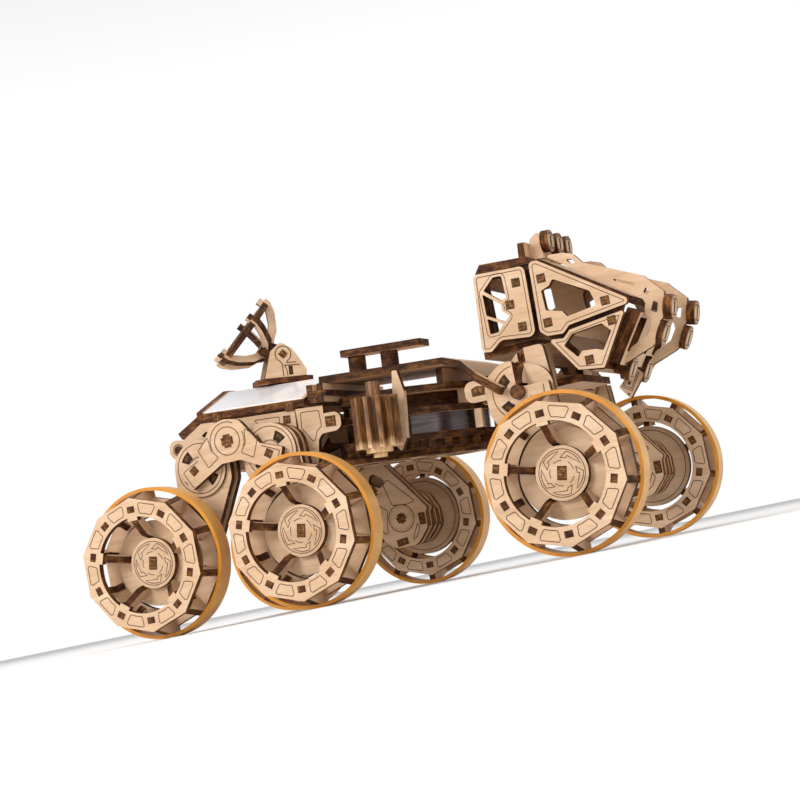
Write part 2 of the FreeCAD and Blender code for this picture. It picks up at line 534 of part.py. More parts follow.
# drawn upright about its own axis: a hub block on the pin, then five curved
# ribs and a five-sided rim
back = D["dishback"]
pad(b, "XZ", [[(-3.0, 2.6), (back - 3.2, -3.2, 3), (back + 3.2, -3.2, 3), (back + 3.2, 3.2, 2), (3.2, 8.6), (-3.0, 8.6)]], "2 * Dims.dishgap - 0.6", both=True)
pad(b, "XZ", [("circle", back, 0, D["dishpin"])], "2 * Dims.dishgap + 2 * Dims.ply", both=True)
rib = [(1.5, 4.8), (4.6, 4.8, 1), (6.4, 6.5, 1), (11.0, 8.2, 4), (17.2, 14.0, 8), (19.8, 18.2), (20.0, 20.9), (16.2, 20.9), (15.7, 18.0), (11.2, 13.0, 5), (6.0, 9.8, 2), (1.5, 9.8)]
p = pad(b, "XZ", [rib], "Dims.ply", both=True)
pol = b.newObject("PartDesign::PolarPattern", "DishRibs")
pol.Originals = [p]
pol.Axis = (origin_feature(b, "Z_Axis"), [""])
pol.Angle = 360
pol.Occurrences = 5
b.Tip = pol
pad(b, "XY", [("circle", 0, 0, 5.0)], "Dims.ply", offset="6.6")
pad(b, "XY", [ring_points(5, 19.1, 0), ring_points(5, 15.3, 0)], "Dims.ply", offset="17.9")
# tab ends standing up from the rim over each rib
tabs = [box(17.0 * math.cos(math.radians(a)), 17.0 * math.sin(math.radians(a)), 3.0, 3.0, a) for a in range(0, 360, 72)]
pad(b, "XY", tabs, "2.4", offset="20.7")

# --------------------------------------------------------------------- cab
PANEL_REAR = [(63.2, 122.6, 2.5), (85.8, 121.0, 2.5), (84.8, 91.3, 3), (69.8, 93.2, 3), (64.6, 89.4, 2), (60.6, 90.0, 2)]
# the rear window is crossed by two thin struts
WINDOW_REAR = [(66.4, 115.0, 0.4), (71.6, 119.6, 1), (75.4, 119.4, 1), (75.6, 110.0, 0.5), (73.2, 109.1, 0.4)]
WINDOW_MID = [(65.6, 113.8, 0.3), (72.8, 107.7, 0.4), (72.8, 104.6, 0.5), (75.6, 102.3, 0.6), (73.2, 100.3, 0.4), (65.6, 104.6, 0.4)]
WINDOW_LOW = [(65.6, 103.3, 0.4), (72.0, 99.5, 0.4), (69.2, 96.6, 1.5), (65.6, 96.6, 0.6)]
PANEL_FRONT = [(88.0, 121.8, 2.5), (91.5, 121.8, 1.5), (125.6, 97.4, 1.5), (125.2, 95.2, 1.5), (99.6, 92.4, 1), (96.4, 89.6, 1.5), (89.6, 90.2, 2.5), (86.8, 92.6, 2.5)]
WINDOW_FRONT = [(96.6, 112.6, 1), (111.0, 104.0, 1.5), (112.6, 97.6, 0.8), (99.6, 96.0, 0.8), (98.0, 98.6, 1), (91.2, 100.6, 1), (90.9, 109.0, 0.6), (94.6, 110.2, 1)]
PANEL_LOWER = [(89.8, 88.4, 0.8), (96.2, 87.6, 1), (99.2, 90.4, 1), (123.6, 93.0, 0.8), (110.4, 72.0, 1), (99.6, 73.6, 1)]
WINDOW_LOWER = [(95.6, 84.6, 0.8), (100.0, 88.6, 0.8), (113.0, 89.8, 0.6), (116.4, 86.0, 0.6), (111.6, 79.0, 0.6), (108.6, 80.2, 1), (102.6, 80.8, 1), (100.6, 78.6, 0.6)]
for node, loops in (("cab_side_panels", [PANEL_REAR, WINDOW_REAR, WINDOW_MID, WINDOW_LOW]), ("cab_window_panels", [PANEL_FRONT, WINDOW_FRONT]), ("cab_lower_panels", [PANEL_LOWER, WINDOW_LOWER])):
    b = new_body(node)
    for sname, side in SIDES:
        side_plate(b, loops, side, "Dims.panelin")
# inner side frames behind the panels' edges
b = new_body("cab_frames")
FRAME = [(64.4, 122.5), (86.0, 121.7), (90.2, 121.2), (123.9, 97.3), (120.6, 91.6), (109.0, 71.8), (100.0, 73.8), (91.0, 87.8), (84.0, 90.4), (64.4, 90.4)]
FHOLES = [
    [(67.6, 119.4, 2), (76.8, 119.0, 2), (76.8, 95.4, 2), (67.6, 94.8, 2)],
    [(92.0, 115.8, 2), (113.6, 101.0, 2), (114.2, 97.2, 1), (98.8, 95.4, 2), (90.4, 98.4, 2), (90.2, 112.0, 2)],
    [(94.8, 85.4, 1), (99.6, 89.0, 1), (113.2, 90.2, 1), (114.8, 86.6, 1), (110.4, 77.6, 2), (100.6, 78.2, 1)],
]
for sname, side in SIDES:
    side_plate(b, [FRAME] + FHOLES, side, "Dims.framein", "Dims.panelin - Dims.framein")
b = new_body("cab_roof")
pad(b, "XZ", [[(63.8, 122.8), (66.4, 126.4), (87.4, 124.7), (89.6, 121.95), (86.0, 121.9)]], "67", both=True)
b = new_body("cab_hood")
HOODTOP = ((90.6, 123.6), (125.9, 98.6))
pad(b, "XZ", [[(89.7, 120.2), (123.0, 96.6), HOODTOP[1], HOODTOP[0]]], "57", both=True)
b = new_body("cab_rear_wall")
pad(b, "XZ", [[(60.9, 91.05), (64.0, 91.05), (66.2, 122.3), (63.4, 122.5)]], "2 * Dims.framein - 0.4", both=True)
pocket(b, "YZ", [box(0, 106.5, 48.0, 22.0, 0, 3)], length="200", both=True)
b = new_body("cab_floor")
pad(b, "XY", [[(57.7, -25.2), (62.0, -28.4), (91.0, -28.4), (91.0, 28.4), (62.0, 28.4), (57.7, 25.2)]], "Dims.ply", offset="88.0")
pad(b, "XZ", [[(91.0, 88.0), (91.0, 91.0), (92.8, 91.0), (104.4, 75.6), (109.4, 75.6), (107.6, 72.6), (102.4, 72.6)]], "56.8", both=True)


# plates that lean across the nose: the frame's own x axis looks out of the
# windscreen, its z axis runs up along the glass
def screen_body(name, x="Dims.screenx", z="Dims.screenz", lean="screenlean"):
    body = doc.addObject("PartDesign::Body", name)
    body.Label = name
    if "AllowCompound" in body.PropertiesList:
        body.AllowCompound = True
    body.Placement.Rotation = FreeCAD.Rotation(V(0, 1, 0), D[lean])
    body.setExpression("Placement.Base.x", "Dims.foreaft + %s" % x)
    body.setExpression("Placement.Base.z", z)
    NODES.append(body)
    return body


b = screen_body("windscreen_plates")
LIGHTS = [box(y, 1.9, 10.6, 15.0, 0, 1.2) for y in (-19.5, 0.0, 19.5)]
GLASSHALF = [(6.4, -11.6), (6.4, -6.2), (17.6, -6.2), (17.6, -11.6), (27.4, -11.6, 1), (27.4, 11.4, 1)]
pad(b, "YZ", [[(-p[0],) + p[1:] for p in reversed(GLASSHALF)] + GLASSHALF] + LIGHTS, "2 * Dims.ply", offset="-2 * Dims.ply")

# ------------------------------------------------------------- nose plates
NOSE = [
    (92.7, 123.9), (92.7, 125.0, 1), (99.6, 124.2, 2), (103.4, 122.8, 2), (107.0, 118.0, 2), (117.1, 113.2), (130.5, 106.6, 1), (137.9, 98.0, 1), (135.0, 87.4),
    (133.8, 86.8), (129.6, 78.0, 0.6), (128.2, 77.2, 0.6), (115.1, 72.7), (119.4, 78.8), (126.9, 81.8, 1.5), (129.9, 86.2, 1.5), (129.9, 88.7, 1), (128.0, 91.2),
    (129.2, 95.2, 0.8), (128.6, 97.0, 0.8), (126.3, 98.8),
]
SLOTS = [
    [(118.0, 108.4, 0.3), (126.2, 104.6, 0.3), (126.8, 103.0, 0.3), (118.6, 107.2, 0.3)],
    [(129.3, 99.6, 0.3), (130.7, 101.5, 0.3), (132.3, 99.5, 0.3), (130.9, 98.5, 0.3)],
    [(132.6, 95.2, 0.5), (134.6, 94.6, 0.5), (133.2, 90.2, 0.5), (130.8, 91.6, 0.5)],
    [(100.0, 121.2, 0.3), (102.4, 120.8, 0.3), (104.2, 118.6, 0.3), (101.6, 119.2, 0.3)],
]
b = new_body("nose_plates")
for sname, side in SIDES:
    side_plate(b, [NOSE] + SLOTS, side, "Dims.noseplate")
NOSEMID = D["noseplate"] + D["ply"] / 2
b = screen_body("upper_nose_lamps", x="140.4", z="90.9", lean="upperlean")
pad(b, "YZ", [("circle", -NOSEMID, 0.0, D["lamprad"]), ("circle", NOSEMID, 0.0, D["lamprad"])], "Dims.lampthick - 0.2", offset="-Dims.lampthick + 0.2")
# the lower lamps look further down than the upper ones
b = screen_body("lower_nose_lamps", x="132.4", z="82.7", lean="lamplean")
pad(b, "YZ", [("circle", -NOSEMID, -0.4, D["lamprad"]), ("circle", NOSEMID, -0.4, D["lamprad"])], "Dims.lampthick - 1.2", offset="0.0")
pad(b, "YZ", [("circle", -12.2, -18.3, D["lamprad"]), ("circle", 12.2, -18.3, D["lamprad"])], "Dims.lampthick", offset="-12.6")
pad(b, "YZ", [("circle", -12.2, -19.2, 2.6), ("circle", 12.2, -19.2, 2.6)], "3.8", offset="-16.3")
b = new_body("tow_bracket")
pad(b, "XZ", [[(109.6, 69.2), (110.1, 75.6), (113.1, 73.45), (117.0, 69.4, 0.6), (116.7, 68.1, 0.4), (109.5, 59.8, 0.4), (105.6, 65.6, 0.6)]], "Dims.ply", both=True)

# -------------------------------------------------------------- roof lamps
b = screen_body("roof_lamps", x="Dims.rooflampx", z="Dims.rooflampz", lean="rake")
LAMPS = (-13.0, 0.0, 13.0)
pad(b, "YZ", [("circle", y, 0.0, 4.7) for y in LAMPS], "3.6", offset="0.0")
for y in LAMPS:
    pad(b, "XZ", [[(0.0, 3.9), (-2.6, 4.0, 1), (-5.4, 1.6, 1), (-6.0, -3.0), (-5.6, -7.0), (-0.02, -7.0)]], "Dims.ply", offset="%r" % y, both=True)
pad(b, "YZ", [[(-21.0, -6.6), (21.0, -6.6), (21.0, 0.2, 1), (-21.0, 0.2, 1)]], "Dims.ply", offset="-9.0")

# --------------------------------------------------- front suspension mounts
gx, gz = D["frontaxle"] - D["legx"], D["axleheight"] + D["legz"]
b = new_body("front_mounts")
LOOP = [(gx - 26.3, gz + 9.7, 3.5), (gx - 8, gz + 9.7, 3), (gx + 1.0, gz + 18.2, 2), (gx + 11.0, gz + 18.2, 2), (gx + 12.0, gz + 4, 2), (gx + 6, gz - 6, 4), (gx - 8, gz - 6, 4), (gx - 14, gz + 0.6, 3), (gx - 26.3, gz + 0.8, 3.5)]
for sname, side in SIDES:
    side_plate(b, [LOOP], side, "Dims.legin - Dims.ply - 0.6")
    side_plate(b, [("circle", gx, gz, 3.0)], side, "Dims.legin - 0.6", "11.6")
pocket(b, "XZ", [[(BEAMX[0] - 0.05, BEAMFOOT + 1.25), (BEAMX[1] + 0.05, BEAMFOOT + 1.2), (BEAMX[1] + 0.05, 95), (BEAMX[0] - 0.05, 95)]], both=True, length="120")
# slanted struts outside them, and the spacers they stand on
for sname, side in SIDES:
    side_plate(b, [[(58.6, 78.8), (61.0, 80.9), (71.2, 72.6), (69.2, 69.9)]], side, "46.1", "5.2")
# cross beam with rounded shoulders over the front legs
b = new_body("front_beam")
SHOULDER = [(-46.0, BEAMFOOT + 1.3), (-46.0, 73.6, 1), (-44.6, 76.0, 4), (-39.2, 80.6, 8), (-30.5, 86.4, 8), (-25.0, 87.8, 2)]
INSIDE = [(-20.0, 81.4, 3), (-29.0, 74.6, 2), (-33.0, BEAMFOOT + 1.3)]
pad(b, "YZ", [SHOULDER + [(-p[0],) + p[1:] for p in reversed(SHOULDER)] + [(-p[0],) + p[1:] for p in reversed(INSIDE)] + INSIDE], "Dims.ply", offset="%r" % BEAMX[0])
b = new_body("front_underframe")
pad(b, "XY", [[(51.5, -22), (96.0, -22), (96.0, 22), (51.5, 22)], box(66, 0, 14, 24, 0, 2)], "Dims.ply", offset="70.0")
pad(b, "YZ", [[(-33.3, 70.2), (33.3, 70.2), (33.3, 88.0), (-33.3, 88.0)], box(0, 80.0, 40, 9, 0, 2)], "Dims.ply", offset="84.0", both=True)
pad(b, "YZ", [[(-33.3, 70.2), (33.3, 70.2), (33.3, 80.0), (-33.3, 80.0)]], "Dims.ply", offset="62.0", both=True)
pad(b, "XY", [[(51.5, -12), (56.0, -12), (56.0, 12), (51.5, 12)]], "20", offset="51.4")

# ------------------------------------------------------------ check and save
doc.recompute()
bad = [o.Name for o in doc.Objects if any(s in ("Invalid", "Error") for s in o.State)]
if bad:
    raise SystemExit("failed objects: %s" % bad)
labels = set()
for b in NODES:
    s = b.Shape
    if s.isNull() or not s.isValid() or s.Volume <= 0:
        raise SystemExit("bad shape: " + b.Label)
    if b.Label in labels or len(b.Label) > 59:
        raise SystemExit("bad name: " + b.Label)
    labels.add(b.Label)
os.makedirs("parts", exist_ok=True)
whole = FreeCAD.BoundBox()
for b in NODES:
    b.Shape.exportStep("parts/%s.step" % b.Label)
    bb = b.Shape.BoundBox
    whole.add(bb)
    print("%-26s solids %2d  vol %9.1f  x %7.1f %7.1f  y %7.1f %7.1f  z %7.1f %7.1f" % (b.Label, len(b.Shape.Solids), b.Shape.Volume, bb.XMin, bb.XMax, bb.YMin, bb.YMax, bb.ZMin, bb.ZMax))
print(len(NODES), "nodes", "box", whole)
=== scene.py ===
import math

import bpy
from mathutils import Matrix, Vector
from mathutils.bvhtree import BVHTree


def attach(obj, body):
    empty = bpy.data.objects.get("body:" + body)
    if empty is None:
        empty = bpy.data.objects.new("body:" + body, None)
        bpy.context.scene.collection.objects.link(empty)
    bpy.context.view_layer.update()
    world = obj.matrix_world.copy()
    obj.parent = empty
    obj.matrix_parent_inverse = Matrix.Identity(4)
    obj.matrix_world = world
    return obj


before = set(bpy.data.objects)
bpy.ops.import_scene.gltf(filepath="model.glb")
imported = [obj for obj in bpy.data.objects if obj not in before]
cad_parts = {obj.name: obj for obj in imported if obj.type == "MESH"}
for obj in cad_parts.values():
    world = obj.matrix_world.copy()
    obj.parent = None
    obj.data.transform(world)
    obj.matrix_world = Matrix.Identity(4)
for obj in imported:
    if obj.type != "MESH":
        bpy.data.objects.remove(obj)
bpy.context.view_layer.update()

# ---------------------------------------------------------------------------
# Everything below is given in millimetres in the part's own drawing, where x
# is measured from the same place as in part.py; FOREAFT carries it to the row.
FOREAFT = -8.373
MM = 0.001


def P(x, y, z):
    return Vector(((x + FOREAFT) * MM, y * MM, z * MM))


# ---------------------------------------------------------------------------
# materials


def srgb(r, g, b):
    def lin(c):
        c = c / 255.0
        return c / 12.92 if c <= 0.04045 else ((c + 0.055) / 1.055) ** 2.4
    return (lin(r), lin(g), lin(b), 1.0)


class Mat:
    """A small node-tree writer."""

    def __init__(self, name):
        self.mat = bpy.data.materials.new(name)
        self.mat.use_nodes = True
        self.nt = self.mat.node_tree
        self.nt.nodes.clear()
        self.out = self.nt.nodes.new("ShaderNodeOutputMaterial")
        self.bsdf = self.nt.nodes.new("ShaderNodeBsdfPrincipled")
        self.nt.links.new(self.bsdf.outputs["BSDF"], self.out.inputs["Surface"])
        self.coord = self.nt.nodes.new("ShaderNodeTexCoord").outputs["Object"]

    def link(self, a, b):
        self.nt.links.new(a, b)

    def node(self, kind, **values):
        n = self.nt.nodes.new(kind)
        for k, v in values.items():
            if k in n.inputs:
                n.inputs[k].default_value = v
            else:
                setattr(n, k, v)
        return n

    def axes(self, g, h, f, sg, sh, sf):
        """Coordinates along three directions, each with its own scale."""
        comb = self.node("ShaderNodeCombineXYZ")
        for i, (d, s) in enumerate(((g, sg), (h, sh), (f, sf))):
            dot = self.node("ShaderNodeVectorMath", operation="DOT_PRODUCT")
            self.link(self.coord, dot.inputs[0])
            dot.inputs[1].default_value = tuple(c * s for c in d)
            self.link(dot.outputs["Value"], comb.inputs[i])
        return comb.outputs["Vector"]

    def noise(self, vector, scale, detail=2.0, rough=0.5, distortion=0.0):
        n = self.node("ShaderNodeTexNoise")
        n.inputs["Scale"].default_value = scale
        n.inputs["Detail"].default_value = detail
        n.inputs["Roughness"].default_value = rough
        n.inputs["Distortion"].default_value = distortion
        self.link(vector, n.inputs["Vector"])
        return n.outputs["Fac"]

    def ramp(self, fac, stops):
        r = self.node("ShaderNodeValToRGB")
        els = r.color_ramp.elements
        while len(els) < len(stops):
            els.new(0.5)
        for e, (pos, col) in zip(els, stops):
            e.position = pos
            e.color = col
        self.link(fac, r.inputs["Fac"])
        return r.outputs["Color"]

    def mix(self, fac, a, b, blend="MIX"):
        m = self.node("ShaderNodeMix", data_type="RGBA", blend_type=blend)
        for sock, val in (("Factor", fac), ("A", a), ("B", b)):
            ins = [i for i in m.inputs if i.name == sock and i.enabled][0]
            if hasattr(val, "node"):
                self.link(val, ins)
            else:
                ins.default_value = val
        return [o for o in m.outputs if o.enabled][0]

    def math(self, op, a, b=0.0):
        m = self.node("ShaderNodeMath", operation=op)
        for i, val in enumerate((a, b)):
            if hasattr(val, "node"):
                self.link(val, m.inputs[i])
            else:
                m.inputs[i].default_value = val
        return m.outputs["Value"]

    def bump(self, height, strength, distance):
        b = self.node("ShaderNodeBump")
        b.inputs["Strength"].default_value = strength
        b.inputs["Distance"].default_value = distance
        self.link(height, b.inputs["Height"])
        self.link(b.outputs["Normal"], self.bsdf.inputs["Normal"])


def across(f):
    """Two directions in the plane square to f, the first as level as it can be."""
    f = Vector(f).normalized()
    g = Vector((1, 0, 0)) if abs(f.x) < 0.9 else Vector((0, 1, 0))
    g = (g - f * g.dot(f)).normalized()
    return g, f.cross(g).normalized(), f


def face_material(name, f, shade=1.0, grain=None):
    """Birch ply face: pale, fine grain lines, a few darker pores and flecks."""
    m = Mat(name)
    g, h, f = across(f)
    if grain is not None:
        g = Vector(grain).normalized()
        h = f.cross(g).normalized()
    wide = m.noise(m.axes(g, h, f, 22.0, 160.0, 160.0), 1.0, 3.0, 0.55, 0.6)
    fine = m.noise(m.axes(g, h, f, 130.0, 2600.0, 2600.0), 1.0, 3.0, 0.6, 0.2)
    pores = m.noise(m.axes(g, h, f, 420.0, 4200.0, 4200.0), 1.0, 1.0, 0.5)
    cloud = m.noise(m.axes(g, h, f, 40.0, 55.0, 55.0), 1.0, 2.0, 0.5)

    def c(r, gg, b):
        return srgb(r * shade, gg * shade, b * shade)

    base = m.ramp(wide, [(0.30, c(204, 171, 138)), (0.52, c(216, 184, 152)), (0.74, c(226, 196, 166))])
    lines = m.ramp(fine, [(0.34, (0.80, 0.74, 0.66, 1)), (0.50, (0.97, 0.96, 0.94, 1)), (0.68, (1, 1, 1, 1))])
    col = m.mix(0.55, base, lines, "MULTIPLY")
    dots = m.ramp(pores, [(0.30, (0.62, 0.50, 0.38, 1)), (0.345, (1, 1, 1, 1))])
    col = m.mix(0.42, col, dots, "MULTIPLY")
    toast = m.ramp(cloud, [(0.38, (0.90, 0.83, 0.73, 1)), (0.60, (1, 1, 1, 1))])
    col = m.mix(0.55, col, toast, "MULTIPLY")
    m.link(col, m.bsdf.inputs["Base Color"])
    rough = m.ramp(fine, [(0.3, (0.72, 0.72, 0.72, 1)), (0.7, (0.52, 0.52, 0.52, 1))])
    m.link(rough, m.bsdf.inputs["Roughness"])
    m.bsdf.inputs["Specular IOR Level"].default_value = 0.35
    m.bump(fine, 0.25, 0.00008)
    return m.mat


def edge_material(name, f, dark=1.0):
    """Laser-burnt edge: dark plies across the sheet's thickness, fine upright
    striations from the beam, and paler unburnt patches."""
    m = Mat(name)
    g, h, f = across(f)
    layers = m.node("ShaderNodeVectorMath", operation="DOT_PRODUCT")
    m.link(m.coord, layers.inputs[0])
    layers.inputs[1].default_value = tuple(c * 1000.0 for c in f)
    wob = m.noise(m.axes(g, h, f, 260.0, 260.0, 900.0), 1.0, 2.0)
    ply = m.math("SINE", m.math("ADD", m.math("MULTIPLY", layers.outputs["Value"], 2 * math.pi / 1.5), m.math("MULTIPLY", wob, 2.4)))
    ply = m.math("ADD", m.math("MULTIPLY", ply, 0.5), 0.5)
    burn = m.noise(m.axes(g, h, f, 2400.0, 2400.0, 160.0), 1.0, 3.0, 0.6)
    patch = m.noise(m.axes(g, h, f, 190.0, 190.0, 420.0), 1.0, 3.0, 0.6)

    def c(r, gg, b):
        return srgb(r * dark, gg * dark, b * dark)

    base = m.ramp(patch, [(0.30, c(54, 27, 10)), (0.47, c(90, 50, 20)), (0.62, c(134, 84, 38)), (0.78, c(182, 126, 64))])
    streak = m.ramp(burn, [(0.32, (0.52, 0.48, 0.44, 1)), (0.62, (1, 1, 1, 1))])
    col = m.mix(0.75, base, streak, "MULTIPLY")
    plies = m.ramp(ply, [(0.15, (0.50, 0.46, 0.42, 1)), (0.55, (1, 1, 1, 1)), (0.92, (1.0, 0.98, 0.94, 1))])
    col = m.mix(0.65, col, plies, "MULTIPLY")
    m.link(col, m.bsdf.inputs["Base Color"])
    rough = m.ramp(burn, [(0.3, (0.74, 0.74, 0.74, 1)), (0.7, (0.56, 0.56, 0.56, 1))])
    m.link(rough, m.bsdf.inputs["Roughness"])
    m.bsdf.inputs["Specular IOR Level"].default_value = 0.2
    m.bump(m.math("ADD", burn, m.math("MULTIPLY", ply, 0.6)), 0.35, 0.00012)
    return m.mat


def engraved_material():
    m = Mat("engraved_line")
    g, h, f = across((0, 1, 0))
    n = m.noise(m.axes(g, h, f, 900.0, 900.0, 900.0), 1.0, 3.0)
    col = m.ramp(n, [(0.3, srgb(58, 32, 18)), (0.55, srgb(86, 52, 32)), (0.8, srgb(130, 88, 56))])
    m.link(col, m.bsdf.inputs["Base Color"])
    m.bsdf.inputs["Roughness"].default_value = 0.8
    m.bump(n, 0.2, 0.00005)
    return m.mat


def tab_material(name="tab_end", light=1.0):
    m = Mat(name)
    g, h, f = across((0, 1, 0))
    n = m.noise(m.axes(g, h, f, 700.0, 700.0, 700.0), 1.0, 3.0)
    s = m.noise(m.axes(g, h, f, 3200.0, 500.0, 3200.0), 1.0, 2.0)
    col = m.ramp(n, [(0.3, srgb(66 * light, 41 * light, 20 * light)), (0.52, srgb(102 * light, 66 * light, 33 * light)), (0.75, srgb(148 * light, 100 * light, 54 * light))])
    st = m.ramp(s, [(0.35, (0.55, 0.5, 0.46, 1)), (0.62, (1, 1, 1, 1))])
    col = m.mix(0.7, col, st, "MULTIPLY")
    m.link(col, m.bsdf.inputs["Base Color"])
    m.bsdf.inputs["Roughness"].default_value = 0.68
    m.bsdf.inputs["Specular IOR Level"].default_value = 0.22
    m.bump(s, 0.3, 0.0001)
    return m.mat


def rubber_material(name, stops, rough, wrap, sss=0.0):
    m = Mat(name)
    g, h, f = across((0, 1, 0))
    n = m.noise(m.axes(g, h, f, 120.0, 120.0, 60.0), 1.0, 3.0)
    fine = m.noise(m.axes(g, h, f, 2600.0, 2600.0, 2600.0), 1.0, 2.0)
    col = m.ramp(n, stops)
    spk = m.ramp(fine, [(0.30, (0.86, 0.80, 0.70, 1)), (0.55, (1, 1, 1, 1))])
    col = m.mix(0.4, col, spk, "MULTIPLY")
    m.link(col, m.bsdf.inputs["Base Color"])
    m.bsdf.inputs["Roughness"].default_value = rough
    m.bsdf.inputs["Coat Weight"].default_value = wrap
    m.bsdf.inputs["Coat Roughness"].default_value = 0.3
    if sss:
        m.bsdf.inputs["Subsurface Weight"].default_value = sss
        m.bsdf.inputs["Subsurface Radius"].default_value = (0.004, 0.002, 0.0008)
        m.bsdf.inputs["Subsurface Scale"].default_value = 1.0
    m.bump(fine, 0.15, 0.00006)
    return m.mat


def steel_material():
    m = Mat("spring_steel")
    g, h, f = across((0, 0, 1))
    n = m.noise(m.axes(g, h, f, 60.0, 60.0, 2200.0), 1.0, 3.0)
    smear = m.noise(m.axes(g, h, f, 80.0, 80.0, 120.0), 1.0, 2.0)
    col = m.ramp(n, [(0.3, srgb(68, 60, 60)), (0.7, srgb(110, 102, 104))])
    m.link(col, m.bsdf.inputs["Base Color"])
    m.bsdf.inputs["Metallic"].default_value = 0.85
    r = m.ramp(smear, [(0.3, (0.20, 0.20, 0.20, 1)), (0.7, (0.30, 0.30, 0.30, 1))])
    m.link(r, m.bsdf.inputs["Roughness"])
    m.bump(n, 0.12, 0.00006)
    return m.mat


def film_material():
    m = Mat("deck_film")
    g, h, f = across((0, 0, 1))
    n = m.noise(m.axes(g, h, f, 55.0, 55.0, 55.0), 1.0, 2.0)
    fine = m.noise(m.axes(g, h, f, 1500.0, 1500.0, 1500.0), 1.0, 2.0)
    col = m.ramp(n, [(0.35, srgb(232, 231, 235)), (0.65, srgb(246, 245, 247))])
    m.link(col, m.bsdf.inputs["Base Color"])
    rr = m.ramp(fine, [(0.3, (0.20, 0.20, 0.20, 1)), (0.7, (0.12, 0.12, 0.12, 1))])
    m.link(rr, m.bsdf.inputs["Roughness"])
    m.bsdf.inputs["Coat Weight"].default_value = 0.6
    m.bsdf.inputs["Coat Roughness"].default_value = 0.08
    m.bump(n, 0.12, 0.0004)
    return m.mat


_cache = {}


def key_of(f):
    return tuple(round(c, 2) + 0.0 for c in f)


def face_for(f, shade=1.0):
    f = Vector(f).normalized()
    if (f.x, f.y, f.z) < (-f.x, -f.y, -f.z):
        f = -f
    k = ("face", key_of(f), shade)
    if k not in _cache:
        _cache[k] = face_material("birch_face_%d" % len(_cache), f, shade)
    return _cache[k]


def edge_for(f, dark=1.0):
    f = Vector(f).normalized()
    if (f.x, f.y, f.z) < (-f.x, -f.y, -f.z):
        f = -f
    k = ("edge", key_of(f), dark)
    if k not in _cache:
        _cache[k] = edge_material("burnt_edge_%d" % len(_cache), f, dark)
    return _cache[k]


ENGRAVED = engraved_material()
TAB = tab_material()
TABLINE = tab_material("tab_layer", 1.65)
# half-bright copy of the tab-end colour: painted shade laid over holes, slots and the gaps round tabs
HOLE = tab_material("hole_painted_shade", 0.5)
STEEL = steel_material()
FILM = film_material()
TYRE_SIDE = rubber_material("tyre_side_amber", [(0.3, srgb(206, 132, 6)), (0.7, srgb(222, 148, 14))], 0.42, 0.12, 0.10)
TYRE_TREAD = rubber_material("tyre_tread", [(0.3, srgb(206, 150, 74)), (0.7, srgb(222, 172, 100))], 0.45, 0.15, 0.1)
TYRE_INSIDE = rubber_material("tyre_inside", [(0.3, srgb(198, 138, 58)), (0.7, srgb(214, 156, 80))], 0.5, 0.1, 0.1)
BAND = rubber_material("rubber_band", [(0.3, srgb(214, 158, 84)), (0.7, srgb(232, 180, 108))], 0.4, 0.2, 0.2)

# ---------------------------------------------------------------------------
# CAD nodes: which way each sheet of ply lies decides what is face and edge
S5, C5 = math.sin(math.radians(5)), math.cos(math.radians(5))
RAKE_UP = (S5, 0, C5)
RAKE_X = (C5, 0, -S5)
YAW = math.radians(35)
X, Y, Z = (1, 0, 0), (0, 1, 0), (0, 0, 1)


def lean(deg):
    a = math.radians(deg)
    return (math.cos(a), 0, -math.sin(a))


def leant(v):
    """A direction in the motor's leaning frame, carried to the world."""
    return (v[0] * C5 + v[2] * S5, v[1], -v[0] * S5 + v[2] * C5)


DISH_X = leant((math.cos(YAW), math.sin(YAW), 0))
DISH_Y = leant((-math.sin(YAW), math.cos(YAW), 0))
SHEETS = {
    "front_legs": [Y], "bogie_legs": [Y], "bogie_arms": [Y], "rear_side_plates": [Y],
    "rear_cross_plates": [X, Z], "rear_deck": [leant((0, 0.352, 0.936)), leant((0, -0.352, 0.936)), RAKE_UP, leant((-0.53, 0, 0.85)), RAKE_X],
    "belly_plate": [RAKE_UP], "motor_ring": [RAKE_UP], "motor_plates": [RAKE_UP, Y, RAKE_X], "motor_roof": [RAKE_UP, leant((0.35, 0, 0.937)), leant((0.72, 0, 0.694)), RAKE_X],
    "top_hatch": [RAKE_UP], "motor_side_brackets": [Y], "antenna_bracket": [DISH_Y, RAKE_UP],
    "cab_side_panels": [Y], "cab_window_panels": [Y], "cab_lower_panels": [Y], "cab_frames": [Y],
    "cab_roof": [RAKE_UP, (0.09, 0, 0.996)], "cab_hood": [(0.578, 0, 0.816)], "cab_rear_wall": [(0.997, 0, -0.073)],
    "cab_floor": [Z, (0.78, 0, 0.62)], "windscreen_plates": [lean(35.2)],
    "nose_plates": [Y], "upper_nose_lamps": [lean(15)], "lower_nose_lamps": [lean(28)], "tow_bracket": [Y],
    "roof_lamps": [lean(5), Y], "front_mounts": [Y], "front_beam": [X], "front_underframe": [X, Z],
}


def thickness(tree, centre, n):
    """How far the solid goes in behind a face, in millimetres."""
    hit = tree.ray_cast(centre - n * 2e-5, -n)
    return 1000.0 * hit[3] if hit[0] is not None else 1e3


